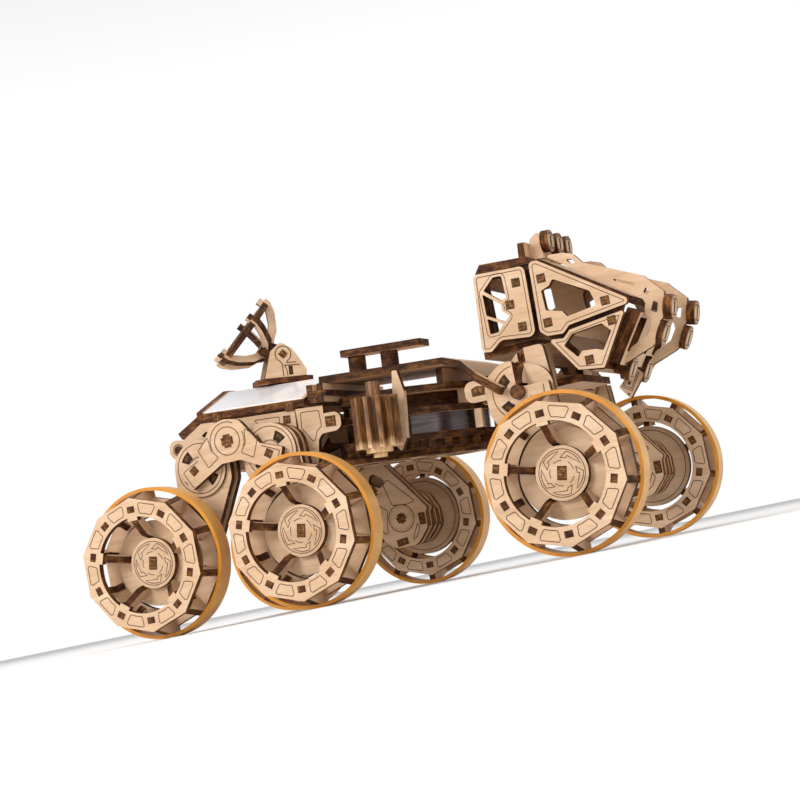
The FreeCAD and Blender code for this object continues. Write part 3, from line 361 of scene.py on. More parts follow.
def paint_plates(node, sheets, dark=1.0, shade=1.0, special=None):
    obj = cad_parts[node]
    me = obj.data
    tree = BVHTree.FromPolygons([v.co for v in me.vertices], [tuple(p.vertices) for p in me.polygons])
    me.materials.clear()
    slots = {}

    def slot(mat):
        if mat.name not in slots:
            me.materials.append(mat)
            slots[mat.name] = len(me.materials) - 1
        return slots[mat.name]

    sheets = [Vector(f).normalized() for f in sheets]
    for p in me.polygons:
        n, c = p.normal, p.center
        best = special(c * 1000.0 - Vector((FOREAFT, 0, 0)), n) if special else None
        for f in sheets:
            if best is not None:
                break
            if abs(n.dot(f)) > 0.975 and (len(sheets) == 1 or thickness(tree, c, n) < 7.2):
                best = face_for(f, shade)
                break
        if best is None:
            # the sheet that this edge belongs to is the one thinnest here
            width, own = 1e9, sheets[0]
            inside = c - n * 3e-4
            for f in sheets:
                if abs(n.dot(f)) > 0.9:
                    continue
                a = tree.ray_cast(inside, f)
                b = tree.ray_cast(inside, -f)
                w = (a[3] if a[0] is not None else 1) + (b[3] if b[0] is not None else 1)
                if w < width:
                    width, own = w, f
            best = edge_for(own, dark)
        p.material_index = slot(best)


def low(c):
    """A point in the motor's leaning frame."""
    return Vector((c.x * C5 - c.z * S5, c.y, c.x * S5 + c.z * C5))


def rear_pins(c, n):
    # round pins' ends, and their sides, beyond the plates
    return edge_for(Y, 0.75) if abs(c.y) > 36.05 or abs(c.y) < 32.9 else None


def ring_underside_shade(c, n):
    # the flat underside of the ring's outer band, an overhang, gets the darker burnt-edge colour as painted shade
    q = low(c)
    r = math.hypot(q.x - 6.0, q.y)
    return edge_for(RAKE_UP, 0.72) if n.dot(Vector(RAKE_UP)) < -0.9 and r > 24 else None


def mounts(c, n):
    if abs(c.y) > 46.05 and c.z > 69.6 and c.x < 71.5 and (c.x < 69 or c.z > 69.8):
        # the slanted struts stand edge-on to the side
        return face_for((0.64, 0, 0.77)) if abs(n.dot(Vector((0.63, 0, 0.776)))) > 0.9 else edge_for((0.63, 0, 0.776), 0.9)
    if abs(n.y) > 0.97 and abs(c.y) > 40:
        return TAB
    return None


def frame_faces_shade(c, n):
    # the frames' flat faces near the side panels, seen in the gaps, get the darker burnt-edge colour as painted shade
    return edge_for(Y, 0.8) if abs(n.y) > 0.97 and abs(c.y) > 31.5 else None


SPECIAL = {"cab_frames": frame_faces_shade, "rear_side_plates": rear_pins, "motor_ring": ring_underside_shade, "front_mounts": mounts}
for node, sheets in SHEETS.items():
    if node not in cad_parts:
        raise SystemExit("no node named " + node)
    dark = 0.8 if node.startswith("motor_") or node == "top_hatch" else 1.0
    paint_plates(node, sheets, dark, special=SPECIAL.get(node))


def fill(node, mat):
    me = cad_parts[node].data
    me.materials.clear()
    me.materials.append(mat)
    for p in me.polygons:
        p.material_index = 0


fill("motor_spring", STEEL)
fill("deck_sheet", FILM)

# the dish: five ribs round its axis, a hub block on the pin and a flat rim
TILT = math.radians(-47.7)
dish_axis = Vector(DISH_X) * math.sin(TILT) + Vector(RAKE_UP) * math.cos(TILT)
dish_x = Vector(DISH_X) * math.cos(TILT) - Vector(RAKE_UP) * math.sin(TILT)
dish_y = Vector(DISH_Y)
rib_dirs = [dish_y * math.cos(math.radians(a)) - dish_x * math.sin(math.radians(a)) for a in range(0, 360, 72)]
dish_pin = Vector((-49.4, 0, 102.75)) + Vector(RAKE_UP) * 13.0


def dish_parts(c, n):
    q = c - dish_pin
    along = q.dot(dish_axis)
    if along > 20.95 and n.dot(dish_axis) > 0.9:
        return edge_for(tuple(dish_x), 0.8)
    if 17.8 < along < 21.0 and abs(n.dot(dish_axis)) < 0.2:
        out = q - dish_axis * along + dish_x * 2.4
        if abs(n.dot(out.normalized())) > 0.75:
            return edge_for(tuple(dish_axis), 0.8)
    return None


paint_plates("antenna_dish", [tuple(d) for d in rib_dirs] + [tuple(dish_axis)], 0.8, 0.97, special=dish_parts)
# the knob: radial fins round an upright axis that leans with the motor; painted
# brown all over, as burnt edges and as painted shade on the fin faces, and pale at their feet as a painted highlight
def fin_material():
    m = Mat("knob_fin_shade_and_highlight")
    g, h, f = across(RAKE_UP)
    up = m.node("ShaderNodeVectorMath", operation="DOT_PRODUCT")
    m.link(m.coord, up.inputs[0])
    up.inputs[1].default_value = tuple(c * 1000.0 for c in RAKE_UP)
    n = m.noise(m.axes(g, h, f, 900.0, 900.0, 160.0), 1.0, 3.0)
    patch = m.noise(m.axes(g, h, f, 160.0, 160.0, 240.0), 1.0, 2.0)
    height = m.math("ADD", up.outputs["Value"], m.math("MULTIPLY", patch, 5.0))
    highlight_fade = m.math("MULTIPLY", m.math("SUBTRACT", height, 62.0), 1.0 / 5.0)
    # brown for the burnt edges and as painted shade on the fin faces; pale low down as a painted highlight
    burn_and_shade = m.ramp(n, [(0.30, srgb(78, 48, 22)), (0.5, srgb(116, 76, 38)), (0.72, srgb(164, 114, 62))])
    foot_highlight = m.ramp(n, [(0.3, srgb(206, 166, 116)), (0.7, srgb(232, 200, 156))])
    col = m.mix(m.ramp(highlight_fade, [(0.2, (0, 0, 0, 1)), (0.8, (1, 1, 1, 1))]), foot_highlight, burn_and_shade)
    m.link(col, m.bsdf.inputs["Base Color"])
    m.bsdf.inputs["Roughness"].default_value = 0.5
    m.bump(n, 0.3, 0.0001)
    return m.mat


fill("winding_knob", fin_material())

# wheels: two ring plates, ten radial ribs, five arms and the discs
WHEELS = {
    "front_right": (94.5, -1), "front_left": (94.5, 1), "middle_right": (-20.5, -1), "middle_left": (-20.5, 1),
    "rear_right": (-92.5, -1), "rear_left": (-92.5, 1),
}
AXLE = 32.5
PLAIN_EDGE = edge_for((0.0, 1.0, 0.0), 0.9)


PARKED = {"front_right": 19.9}
RIB_AT = [18 + 36 * i for i in range(5)]
RIB_DIRS = [Vector((-math.sin(math.radians(a)), 0, math.cos(math.radians(a)))) for a in RIB_AT]
RIB_FACES = [face_for(tuple(d)) for d in RIB_DIRS]
RIB_EDGES = [edge_for(tuple(d), 0.92) for d in RIB_DIRS]


def paint_wheel(name, ax, side):
    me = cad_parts["wheel_" + name].data
    me.materials.clear()
    turn = math.radians(PARKED.get(name, 18) - 18)
    dirs = [Vector((d.x * math.cos(turn) - d.z * math.sin(turn), 0, d.x * math.sin(turn) + d.z * math.cos(turn))) for d in RIB_DIRS]
    mats = [face_for(Y), edge_for(Y)] + RIB_FACES + RIB_EDGES
    for m in mats:
        me.materials.append(m)
    tree = BVHTree.FromPolygons([v.co for v in me.vertices], [tuple(p.vertices) for p in me.polygons])
    mid = P(ax, 0, AXLE)
    for p in me.polygons:
        n, c = p.normal, p.center
        d = c - mid
        d.y = 0
        r = d.length * 1000
        rad = d.normalized() if d.length > 1e-6 else Vector((1, 0, 0))
        tan = Vector((-rad.z, 0, rad.x))
        rib = max(range(5), key=lambda i: abs(dirs[i].dot(tan)))
        deep = abs(c.y) * 1000 - 60.1
        if deep > 20.03:
            p.material_index = 7 + rib
        elif abs(n.y) > 0.97:
            flat = min(abs(deep - q) for q in (0.0, 3.0, 17.0, 20.0)) < 0.06 and 17.0 < r < 28.95
            hub = min(abs(deep - q) for q in (4.0, 7.0, 10.0)) < 0.06 and r < 18.7
            p.material_index = 0 if flat or hub or r < 15.3 else 7 + rib
        elif abs(n.dot(dirs[rib])) > 0.97 and r > 10.5 and thickness(tree, c, n) < 3.6:
            p.material_index = 2 + rib
        elif r > 28.9 or (15.2 < r < 20.2 and deep < 16.9) or (10.9 < r < 26.5 and 3.1 < deep < 16.9 and r > 15.2) or (10.9 < r < 15.2 and deep > 7.05):
            p.material_index = 7 + rib
        else:
            p.material_index = 1


def paint_tyre(name, ax, side):
    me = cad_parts["tyre_" + name].data
    me.materials.clear()
    for m in (TYRE_SIDE, TYRE_TREAD, TYRE_INSIDE):
        me.materials.append(m)
    mid = P(ax, 0, AXLE)
    for p in me.polygons:
        d = p.center - mid
        d.y = 0
        if abs(p.normal.y) > 0.7:
            p.material_index = 0
        else:
            p.material_index = 1 if p.normal.dot(d) > 0 else 2


for name, (ax, side) in WHEELS.items():
    paint_wheel(name, ax, side)
    paint_tyre(name, ax, side)

# ---------------------------------------------------------------------------
# flat trim: burnt lines, tab ends, and dark patches of painted shade for holes, slots and gaps, lying on the sheets'
# faces


class Trim:
    """Gathers thin raised figures on flat faces and makes one mesh of them."""

    # the fourth index is the dark material of painted shade over holes, slots and gaps
    LINE, TAB, LAYER, HOLE, FACE = range(5)

    def __init__(self, name, body):
        self.name, self.body = name, body
        self.verts, self.faces, self.mats = [], [], []
        self.at((0, 0, 0), X, Z, (0, -1, 0))

    def at(self, origin, u, v, n):
        """Drawing plane: origin, two directions and the way outwards. Origin
        in the drawing's millimetres, already carried fore and aft."""
        self.o, self.u, self.v, self.n = Vector(origin), Vector(u), Vector(v), Vector(n)
        return self

    def side(self, side, y):
        """A plate parallel to the centre plane, outer face at |y|."""
        return self.at((FOREAFT, side * y, 0), X, Z, (0, side, 0))

    def put(self, pts, lift):
        base = len(self.verts)
        for a, b in pts:
            q = self.o + self.u * a + self.v * b + self.n * lift
            self.verts.append(q * MM)
        return base

    def face(self, idx, mat):
        # faces look outwards whichever way the plane is handed
        a, b, c = (self.verts[idx[0]], self.verts[idx[1]], self.verts[idx[2]])
        if (b - a).cross(c - a).dot(self.n) < 0:
            idx = list(reversed(idx))
        self.faces.append(tuple(idx))
        self.mats.append(mat)

    def strip(self, pts, closed=True, width=0.26, lift=0.04, mat=LINE):
        """A flat line of given width, lifted off the face, along points."""
        if mat == self.LINE:
            width *= 1.45
        pts = [Vector((p[0], p[1])) for p in pts]
        clean = []
        for p in pts:
            if not clean or (p - clean[-1]).length > 0.02:
                clean.append(p)
        if closed and (clean[0] - clean[-1]).length < 0.02:
            clean.pop()
        pts = clean
        k = len(pts)
        if k < 2:
            return
        left, right = [], []
        for i in range(k):
            a = pts[i - 1] if closed or i > 0 else None
            c = pts[(i + 1) % k] if closed or i < k - 1 else None
            d1 = (pts[i] - a).normalized() if a is not None else None
            d2 = (c - pts[i]).normalized() if c is not None else None
            d1 = d1 or d2
            d2 = d2 or d1
            n1, n2 = Vector((-d1.y, d1.x)), Vector((-d2.y, d2.x))
            m = n1 + n2
            if m.length < 1e-4:
                m = n1.copy()
            m.normalize()
            s = width / 2 / max(0.45, m.dot(n1))
            left.append(pts[i] + m * s)
            right.append(pts[i] - m * s)
        bl = self.put(left, lift)
        br = self.put(right, lift)
        for i in range(k if closed else k - 1):
            j = (i + 1) % k
            self.quad(bl + i, bl + j, br + j, br + i, mat)

    def quad(self, a, b, c, d, mat):
        va, vb, vc = self.verts[a], self.verts[b], self.verts[c]
        idx = (a, b, c, d)
        nn = (vb - va).cross(vc - va)
        if nn.dot(self.n) < 0:
            idx = (d, c, b, a)
        self.faces.append(idx)
        self.mats.append(mat)

    def block(self, pts, mat=TAB, lift=0.10, base=-0.02):
        """A low block with upright sides standing on the face."""
        area = sum(pts[i - 1][0] * pts[i][1] - pts[i][0] * pts[i - 1][1] for i in range(len(pts)))
        hand = self.u.cross(self.v).dot(self.n)
        if area * hand < 0:
            pts = list(reversed(pts))
        lo = self.put(pts, base)
        hi = self.put(pts, lift)
        k = len(pts)
        self.faces.append(tuple(hi + i for i in range(k)))
        self.mats.append(mat)
        for i in range(k):
            j = (i + 1) % k
            self.faces.append((lo + i, lo + j, hi + j, hi + i))
            self.mats.append(mat)

    def tab(self, u, v, w, h, turn=0.0, layers=2, lift=0.12):
        """A square tab end: burnt edges of the plies, a few paler layers, and
        the thin gap round it, painted dark as shade."""
        self.strip(box(u, v, w + 0.2, h + 0.2, turn), width=0.22, lift=0.05, mat=self.HOLE)
        self.block(box(u, v, w, h, turn), self.TAB, lift)
        c, s = math.cos(math.radians(turn)), math.sin(math.radians(turn))
        for i in range(layers):
            t = (i + 1) / (layers + 1) - 0.5
            cu, cv = u - s * h * t, v + c * h * t
            self.strip([(cu - c * w * 0.42, cv - s * w * 0.42), (cu + c * w * 0.42, cv + s * w * 0.42)], False, 0.16, lift + 0.02, self.LAYER)

    def cross_end(self, u, v, size=4.4, turn=0.0, lift=0.14):
        """The cross-shaped end of a square axle held by two wedges."""
        a, b = size / 2, size * 0.29
        pts = [(-b, -a), (b, -a), (b, -b), (a, -b), (a, b), (b, b), (b, a), (-b, a), (-b, b), (-a, b), (-a, -b), (-b, -b)]
        c, s = math.cos(math.radians(turn)), math.sin(math.radians(turn))
        pts = [(u + p * c - q * s, v + p * s + q * c) for p, q in pts]
        # the gap round the cross, painted dark as shade
        self.strip(pts, width=0.22, lift=0.05, mat=self.HOLE)
        self.block(pts, self.TAB, lift)
        for t in (-0.26, 0.0, 0.26):
            q = size * t
            w = a * 0.9 if abs(q) < b else b * 0.9
            self.strip([(u - w * c - q * s, v - w * s + q * c), (u + w * c - q * s, v + w * s + q * c)], False, 0.15, lift + 0.02, self.LAYER)

    def make(self):
        me = bpy.data.meshes.new(self.name)
        me.from_pydata([tuple(v) for v in self.verts], [], self.faces)
        for m in (ENGRAVED, TAB, TABLINE, HOLE, face_for(Y)):
            me.materials.append(m)
        for p, m in zip(me.polygons, self.mats):
            p.material_index = m
        me.update()
        ob = bpy.data.objects.new(self.name, me)
        bpy.context.scene.collection.objects.link(ob)
        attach(ob, self.body)
        return ob


def box(u, v, w, h, turn=0.0):
    c, s = math.cos(math.radians(turn)), math.sin(math.radians(turn))
    return [(u + a * c - b * s, v + a * s + b * c) for a, b in ((-w / 2, -h / 2), (w / 2, -h / 2), (w / 2, h / 2), (-w / 2, h / 2))]


def circle(u, v, r, n=40, a0=0.0, a1=360.0):
    full = abs(a1 - a0) >= 359.9
    k = n if full else max(3, int(n * abs(a1 - a0) / 360) + 1)
    return [(u + r * math.cos(math.radians(a0 + (a1 - a0) * i / (k if full else k - 1))), v + r * math.sin(math.radians(a0 + (a1 - a0) * i / (k if full else k - 1)))) for i in range(k)]


def rounded(loop, steps=4, extra=0.0):
    """Corners (u, v[, fillet]) to a polyline with arcs at the fillets."""
    pts = [Vector((p[0], p[1])) for p in loop]
    fil = [(p[2] if len(p) > 2 else 0.0) + extra for p in loop]
    out, n = [], len(loop)
    for i in range(n):
        a, b, c = pts[i - 1], pts[i], pts[(i + 1) % n]
        r = fil[i]
        if r <= 0:
            out.append(tuple(b))
            continue
        ab, cb = a - b, c - b
        la, lc = ab.length, cb.length
        ab.normalize()
        cb.normalize()
        half = math.acos(max(-1, min(1, ab.dot(cb)))) / 2
        if half > 1.5:
            out.append(tuple(b))
            continue
        t = min(r / math.tan(half), 0.49 * la, 0.49 * lc)
        r = t * math.tan(half)
        centre = b + (ab + cb).normalized() * (r / math.sin(half))
        s, e = b + ab * t - centre, b + cb * t - centre
        a0, a1 = math.atan2(s.y, s.x), math.atan2(e.y, e.x)
        while a1 - a0 > math.pi:
            a1 -= 2 * math.pi
        while a1 - a0 < -math.pi:
            a1 += 2 * math.pi
        for k in range(steps + 1):
            q = a0 + (a1 - a0) * k / steps
            out.append((centre.x + r * math.cos(q), centre.y + r * math.sin(q)))
    return out


def inset(loop, d):
    """The same corners moved inwards by d (outwards if d is negative)."""
    area = sum(loop[i - 1][0] * loop[i][1] - loop[i][0] * loop[i - 1][1] for i in range(len(loop)))
    k = 1.0 if area > 0 else -1.0
    out, n = [], len(loop)
    for i in range(n):
        a, b, c = (Vector(loop[i - 1][:2]), Vector(loop[i][:2]), Vector(loop[(i + 1) % n][:2]))
        d1, d2 = (b - a).normalized(), (c - b).normalized()
        n1, n2 = Vector((-d1.y, d1.x)) * k, Vector((-d2.y, d2.x)) * k
        m = n1 + n2
        if m.length < 1e-3:
            m = n1
        m.normalize()
        q = b + m * (d / max(0.35, m.dot(n1)))
        f = loop[i][2] if len(loop[i]) > 2 else 0.0
        convex = d1.cross(d2) * k > 0
        out.append((q.x, q.y, max(0.15, f - d if convex else f + d)))
    return out


def shift(loop, du, dv, mirror=False):
    k = -1.0 if mirror else 1.0
    return [(du + k * p[0], dv + p[1]) + tuple(p[2:]) for p in loop]


# ------------------------------------------------------------- wheel figures
def blade(a):
    pts = [(a + t, 8.68 - 0.27 * i / 6) for i, t in enumerate((0, -8, -17, -25, -34, -42, -51))]
    pts += [(a - 14, 7.03), (a - 6, 7.14), (a - 3, 6.12), (a + 8, 6.02), (a + 18, 6.12)]
    return [(r * math.cos(math.radians(t)), r * math.sin(math.radians(t))) for t, r in pts]


def turned(pts, a):
    c, s = math.cos(math.radians(a)), math.sin(math.radians(a))
    return [(p[0] * c - p[1] * s, p[0] * s + p[1] * c) + tuple(p[2:]) for p in pts]


PAD = [(21.55, -2.75, 0.8), (21.85, 0, 12), (21.55, 2.75, 0.8), (25.2, 4.2, 0.9), (26.0, 3.6, 0.7), (26.0, -3.6, 0.7), (25.2, -4.2, 0.9)]


def wheel_ring_figures(t, proud, at):
    for i in range(10):
        a = at + 36 * i
        c, s = math.cos(math.radians(a)), math.sin(math.radians(a))
        # the gap round a tab that stands through the ring, painted dark as shade
        if proud:
            t.strip(box(23.7 * c, 23.7 * s, 2.55, 3.35, a), width=0.2, lift=0.05, mat=t.HOLE)
        else:
            t.tab(23.7 * c, 23.7 * s, 2.4, 3.2, a, 2)
        t.strip(rounded(turned(PAD, a + 18), 3), width=0.24)


for name, (ax, side) in WHEELS.items():
    t = Trim("wheel_marks_" + name, "wheel_assembly_" + name)
    # outboard ring face, looking at the wheel from outside
    t.at((ax + FOREAFT, side * 80.1, AXLE), X, Z, (0, side, 0))
    wheel_ring_figures(t, True, PARKED.get(name, 18))
    # inboard ring face
    t.at((ax + FOREAFT, side * 60.1, AXLE), X, Z, (0, -side, 0))
    wheel_ring_figures(t, False, PARKED.get(name, 18))
    # hub cap
    t.at((ax + FOREAFT, side * 70.1, AXLE), X, Z, (0, side, 0))
    t.strip(circle(0, 0, 9.4, 64), width=0.22)
    for i in range(5):
        t.strip(blade(139 + 72 * i), width=0.22)
        t.strip(circle(0, 0, 4.95, 64, 80 + 72 * i, 122 + 72 * i), False, 0.22)
    t.tab(0, 0, 3.5, 5.2, -11, 4, 0.14)
    # inner disc of the hub
    t.at((ax + FOREAFT, side * 64.1, AXLE), X, Z, (0, -side, 0))
    t.strip(circle(0, 0, 16.5, 64), width=0.24)
    # end of the axle in its bush, seen from between the wheels
    t.at((ax + FOREAFT, side * 37.0, AXLE), X, Z, (0, -side, 0))
    t.cross_end(0, 0, 4.6, 24)
    t.make()

# -------------------------------------------------------------- leg figures
GX, GZ = -18.5, 37.0
LEG = [
    (GX - 4, GZ + 14.2, 8), (GX + 13, GZ + 8, 10), (-4.5, 27, 6), (4.0, 16.0, 4), (13.8, 2.6, 1),
    (12.6, 0.8, 1), (12.2, -6.4, 5), (5.6, -13.6, 5), (-5.6, -13.4, 4), (-10.5, -8.5, 3),
    (-24.5, 15.6, 6), (GX - 13.8, GZ - 7, 6), (GX - 14.2, GZ + 7, 8),
]
SHOE = [(-11, 9, 6), (2, 13, 5), (9, 9.0, 3), (12.4, 2.0, 2), (12.2, -6.0, 6), (5.0, -13.2, 6), (-6.0, -12.8, 6), (-12.0, -5.0, 6)]
LEG_A = [(-3.4, 19.1, 1), (8.5, 6.7, 0.6), (4.0, 5.9, 1.0), (-3.4, 6.8, 1.2), (-5.9, 17.2, 1)]
LEG_B = [(-17, 8.2, 1), (-14.4, 9.6, 0.8), (-10.5, 8.5, 1.4), (-8.2, 6.2, 1), (-6.2, 5, 0.6), (-7.6, -1.0, 4), (-8.3, -8.2, 1)]
GEARDISC = [(0, 0)]


def leg_figures(t, wx, mirror, side, inside):
    """Marks on both faces of a leg: its inner plate seen from within and its
    outer plates seen from outside."""
    if inside:
        t.at((FOREAFT, side * 37.0, 0), X, Z, (0, -side, 0))
    else:
        t.at((FOREAFT, side * 46.0, 0), X, Z, (0, side, 0))
    for loop in (LEG_A, LEG_B):
        t.strip(rounded(shift(loop, wx, AXLE, mirror)), width=0.26)
    k = -1 if mirror else 1
    t.strip([(wx + k * p[0], AXLE + p[1]) for p in ((7.4, -4.0), (8.2, -6.0), (6.4, -9.4), (4.2, -11.0), (4.6, -9.0), (6.0, -6.6), (7.4, -4.0))], width=0.26)
    if inside:
        t.strip(circle(wx, AXLE, 6.4, 40), width=0.3)
        t.at((FOREAFT, side * 37.0, 0), X, Z, (0, -side, 0))
        t.cross_end(wx - k * 12.3, AXLE + 14.9, 5.4, 32 * k)
    t.tab(wx + k * 10.3, AXLE - 2.0, 2.9, 5.2, 0, 3)
    t.tab(wx - k * 1.6, AXLE - 11.0, 5.4, 2.8, 6 * k, 1)


def gear_figures(t, gx, gz, side, y, clear=None):
    """An engraved ring and four slots; clear says where the disc is cut away."""
    t.at((FOREAFT, side * y, 0), X, Z, (0, side, 0))

    def runs(pts):
        if clear is None:
            return [(pts, True)]
        k = next((i for i in range(len(pts)) if clear(pts[i])), None)
        if k is None:
            return [(pts, True)]
        out, run = [], []
        for i in range(1, len(pts) + 1):
            q = pts[(k + i) % len(pts)]
            if clear(q):
                if len(run) > 1:
                    out.append((run, False))
                run = []
            else:
                run.append(q)
        return out

    for r in (11.0, 5.0) if clear is None else (11.0,):
        for pts, closed in runs(circle(gx, gz, r, 72)):
            t.strip(pts, closed, width=0.26)
    # the four slots are dark patches of painted shade, each with a tab end in it
    for i in range(4):
        a = 45 + 90 * i
        arc = [(9.5, d) for d in (-17.5, -9, 0, 9, 17.5)] + [(5.4, d) for d in (17.5, 0, -17.5)]
        seg = [(gx + rr * math.cos(math.radians(a + d)), gz + rr * math.sin(math.radians(a + d))) for rr, d in arc]
        if clear is None or not any(clear(q) for q in seg):
            t.block(seg, t.HOLE, 0.05)
            mid = (gx + 7.9 * math.cos(math.radians(a)), gz + 7.9 * math.sin(math.radians(a)))
            t.block(box(mid[0], mid[1], 1.6, 2.6, a + 10), t.TAB, 0.08)


for group, wheels in (("front_legs", (("front", 94.5, False),)), ("bogie_legs", (("middle", -20.5, False), ("rear", -92.5, True)))):
    t = Trim("marks_" + group, "chassis")
    for side in (-1, 1):
        for nm, wx, mirror in wheels:
            k = -1 if mirror else 1
            leg_figures(t, wx, mirror, side, True)
            leg_figures(t, wx, mirror, side, False)
            if nm == "front":
                gear_figures(t, wx + k * GX, AXLE + GZ, side, 46.0, lambda q: q[0] > 75.3 and q[1] > 71.1)
            else:
                gear_figures(t, wx + k * GX, AXLE + GZ, side, 47.4)
            # short outer plates by the wheel
            t.at((FOREAFT, side * 53.0, 0), X, Z, (0, side, 0))
            t.strip(rounded(inset(shift(SHOE, wx, AXLE, mirror), 1.5)), width=0.24)
    t.make()

# ---------------------------------------------------------- bogie arm figures
PX, PZ = -56.5, 78.0
t = Trim("marks_bogie_arms", "chassis")
for side in (-1, 1):
    t.side(side, 51.0)
    t.strip(circle(PX, PZ, 6.1, 48), width=0.28)
    t.strip(circle(PX, PZ, 8.3, 48, -35, 20), False, 0.26)
    t.strip(circle(PX, PZ, 8.3, 48, 60, 200), False, 0.26)
    t.cross_end(PX, PZ, 5.6, 0)
    t.tab(PX - 18.6, PZ - 9.4, 3.2, 3.2, 34, 1)
    t.tab(PX + 18.6, PZ - 9.4, 3.2, 3.2, -34, 1)
    for k in (-1, 1):
        t.strip(rounded([(PX + k * 9.2, PZ + 3.6, 0.4), (PX + k * 14.9, PZ - 1.4, 0.6), (PX + k * 11.2, PZ - 9.6, 0.6), (PX + k * 5.6, PZ - 6.2, 0.6), (PX + k * 8.6, PZ - 2.6, 2.5)]), width=0.26)
        t.strip(rounded([(PX + k * 15.8, PZ - 5.4, 0.2), (PX + k * 24.0, PZ - 9.2, 0.6), (PX + k * 20.6, PZ - 16.0, 0.8), (PX + k * 20.0, PZ - 16.4, 0.4)]), False, 0.26)
t.make()

# --------------------------------------------------- rear body and brackets
t = Trim("marks_rear_body", "chassis")
for side in (-1, 1):
    t.side(side, 36.0)
    t.strip(rounded([(-49.6, 85.6, 0.4), (-37.1, 84.5, 0.4), (-37.5, 80.2, 0.3), (-46.1, 82.0, 0.4)]), width=0.26)
    t.tab(-33.6, 82.4, 3.2, 3.2, -5, 2)
    t.strip(circle(-89.3, 80.8, 2.5, 32), width=0.3)
    # small holes as dark patches of painted shade
    for u, v, w, h, a in ((-85.8, 75.6, 2.2, 0.9, 20), (-82.0, 65.4, 0.8, 2.0, -20), (-90.6, 76.2, 0.9, 1.6, 10)):
        t.block(box(u, v, w, h, a), t.HOLE, 0.05)
    # bracket and its ear
    t.strip(rounded([(-26.6, 84.0, 0.8), (-17.9, 83.1, 0.8), (-17.9, 75.9, 1.6), (-20.4, 74.6, 1.2), (-22.7, 69.6, 0.8), (-24.6, 72.9, 1.5), (-27.4, 77.2, 1)]), width=0.26)
    t.tab(-13.3, 77.3, 4.6, 4.2, -5, 2)
    # tab ends of the cross plates under the deck's edge
    t.at((FOREAFT, side * 36.4, 0), (C5, 0, -S5), (S5, 0, C5), (0, side, 0))
    for u in (-74.6, -38.5):
        t.block(box(u, 84.9, 4.2, 4.4), t.TAB, 0.5)
        for q in (-0.9, 0.5):
            t.strip([(u + q, 82.9), (u + q, 86.9)], False, 0.24, 0.53, t.LAYER)
t.make()

# -------------------------------------------------------- antenna bracket
t = Trim("marks_antenna_bracket", "antenna_turntable")
for side in (-1, 1):
    o = Vector((-49.4 + FOREAFT, 0, 102.75)) + Vector(DISH_Y) * (9.5 * side)
    t.at(o, DISH_X, RAKE_UP, tuple(Vector(DISH_Y) * side))
    t.strip(circle(0, 13.0, 3.6, 36, -62, 245) + [(-0.8, 8.3), (-0.75, 3.0)], False, 0.3)
    t.strip([(1.7, 9.8), (1.3, 9.0), (5.6, 8.8)], False, 0.3)
    t.strip([(-0.1, 7.8), (7.0, 7.5)], False, 0.34)
    t.strip([(0.2, 7.7), (1.0, 5.6), (1.1, 3.0)], False, 0.26)
    # a slot as a dark patch of painted shade
    t.block(box(2.8, 5.3, 1.9, 4.0), t.HOLE, 0.05)
    t.strip([(2.8, 3.6), (2.8, 7.0)], False, 0.4, 0.08, t.TAB)
t.make()
# the square ends of the dish's pin
t = Trim("marks_antenna_pin", "antenna_head")
for side in (-1, 1):
    o = Vector((-49.4 + FOREAFT, 0, 102.75)) + Vector(RAKE_UP) * 13.0 + Vector(DISH_Y) * (9.5 * side)
    t.at(o, DISH_X, RAKE_UP, tuple(Vector(DISH_Y) * side))
    t.block(box(0, 0, 3.1, 3.1, 45), t.TAB, 0.22, 0.05)
    t.strip([(-1.0, 1.0), (1.0, -1.0)], False, 0.2, 0.25, t.LAYER)
t.make()

# ------------------------------------------------- front mounts, tow bracket
t = Trim("marks_front", "chassis")
for side in (-1, 1):
    t.side(side, 36.4)
    ear = [(-3.0, -1.7), (2.2, -1.8), (3.2, 0.0), (2.4, 1.4), (-0.6, 1.9), (-3.0, 1.2)]
    # the gap round the ear, painted dark as shade
    t.strip([(56.0 + 1.06 * p[0], 74.7 + 1.06 * p[1]) for p in ear], width=0.24, lift=0.05, mat=t.HOLE)
    t.block([(56.0 + p[0], 74.7 + p[1]) for p in ear], t.TAB, 0.12)
    for q in (-1.4, 0.6):
        t.strip([(56.0 + q, 73.2), (56.0 + q, 76.0)], False, 0.22, 0.14, t.LAYER)
    t.at((FOREAFT, side * 1.5, 0), X, Z, (0, side, 0))
    for w, h in ((4.6, 8.0), (3.2, 6.4)):
        t.strip(box(111.2, 67.6, w, h, -34), width=0.22)
    # the tow bracket's slot and small holes as dark patches of painted shade
    t.block(box(111.2, 67.6, 1.2, 4.4, -34), t.HOLE, 0.05)
    for q in (-1.3, -0.4, 0.5, 1.4):
        t.strip([(111.2 + q * 0.56 - 0.4, 67.6 + q * 0.83 + 0.3), (111.2 + q * 0.56 + 0.4, 67.6 + q * 0.83 - 0.3)], False, 0.24, 0.08, t.LAYER)
    t.block(box(111.3, 72.6, 1.6, 0.5, -34), t.HOLE, 0.05)
    t.block(box(109.2, 61.9, 0.8, 0.8, -34), t.HOLE, 0.05)
t.make()

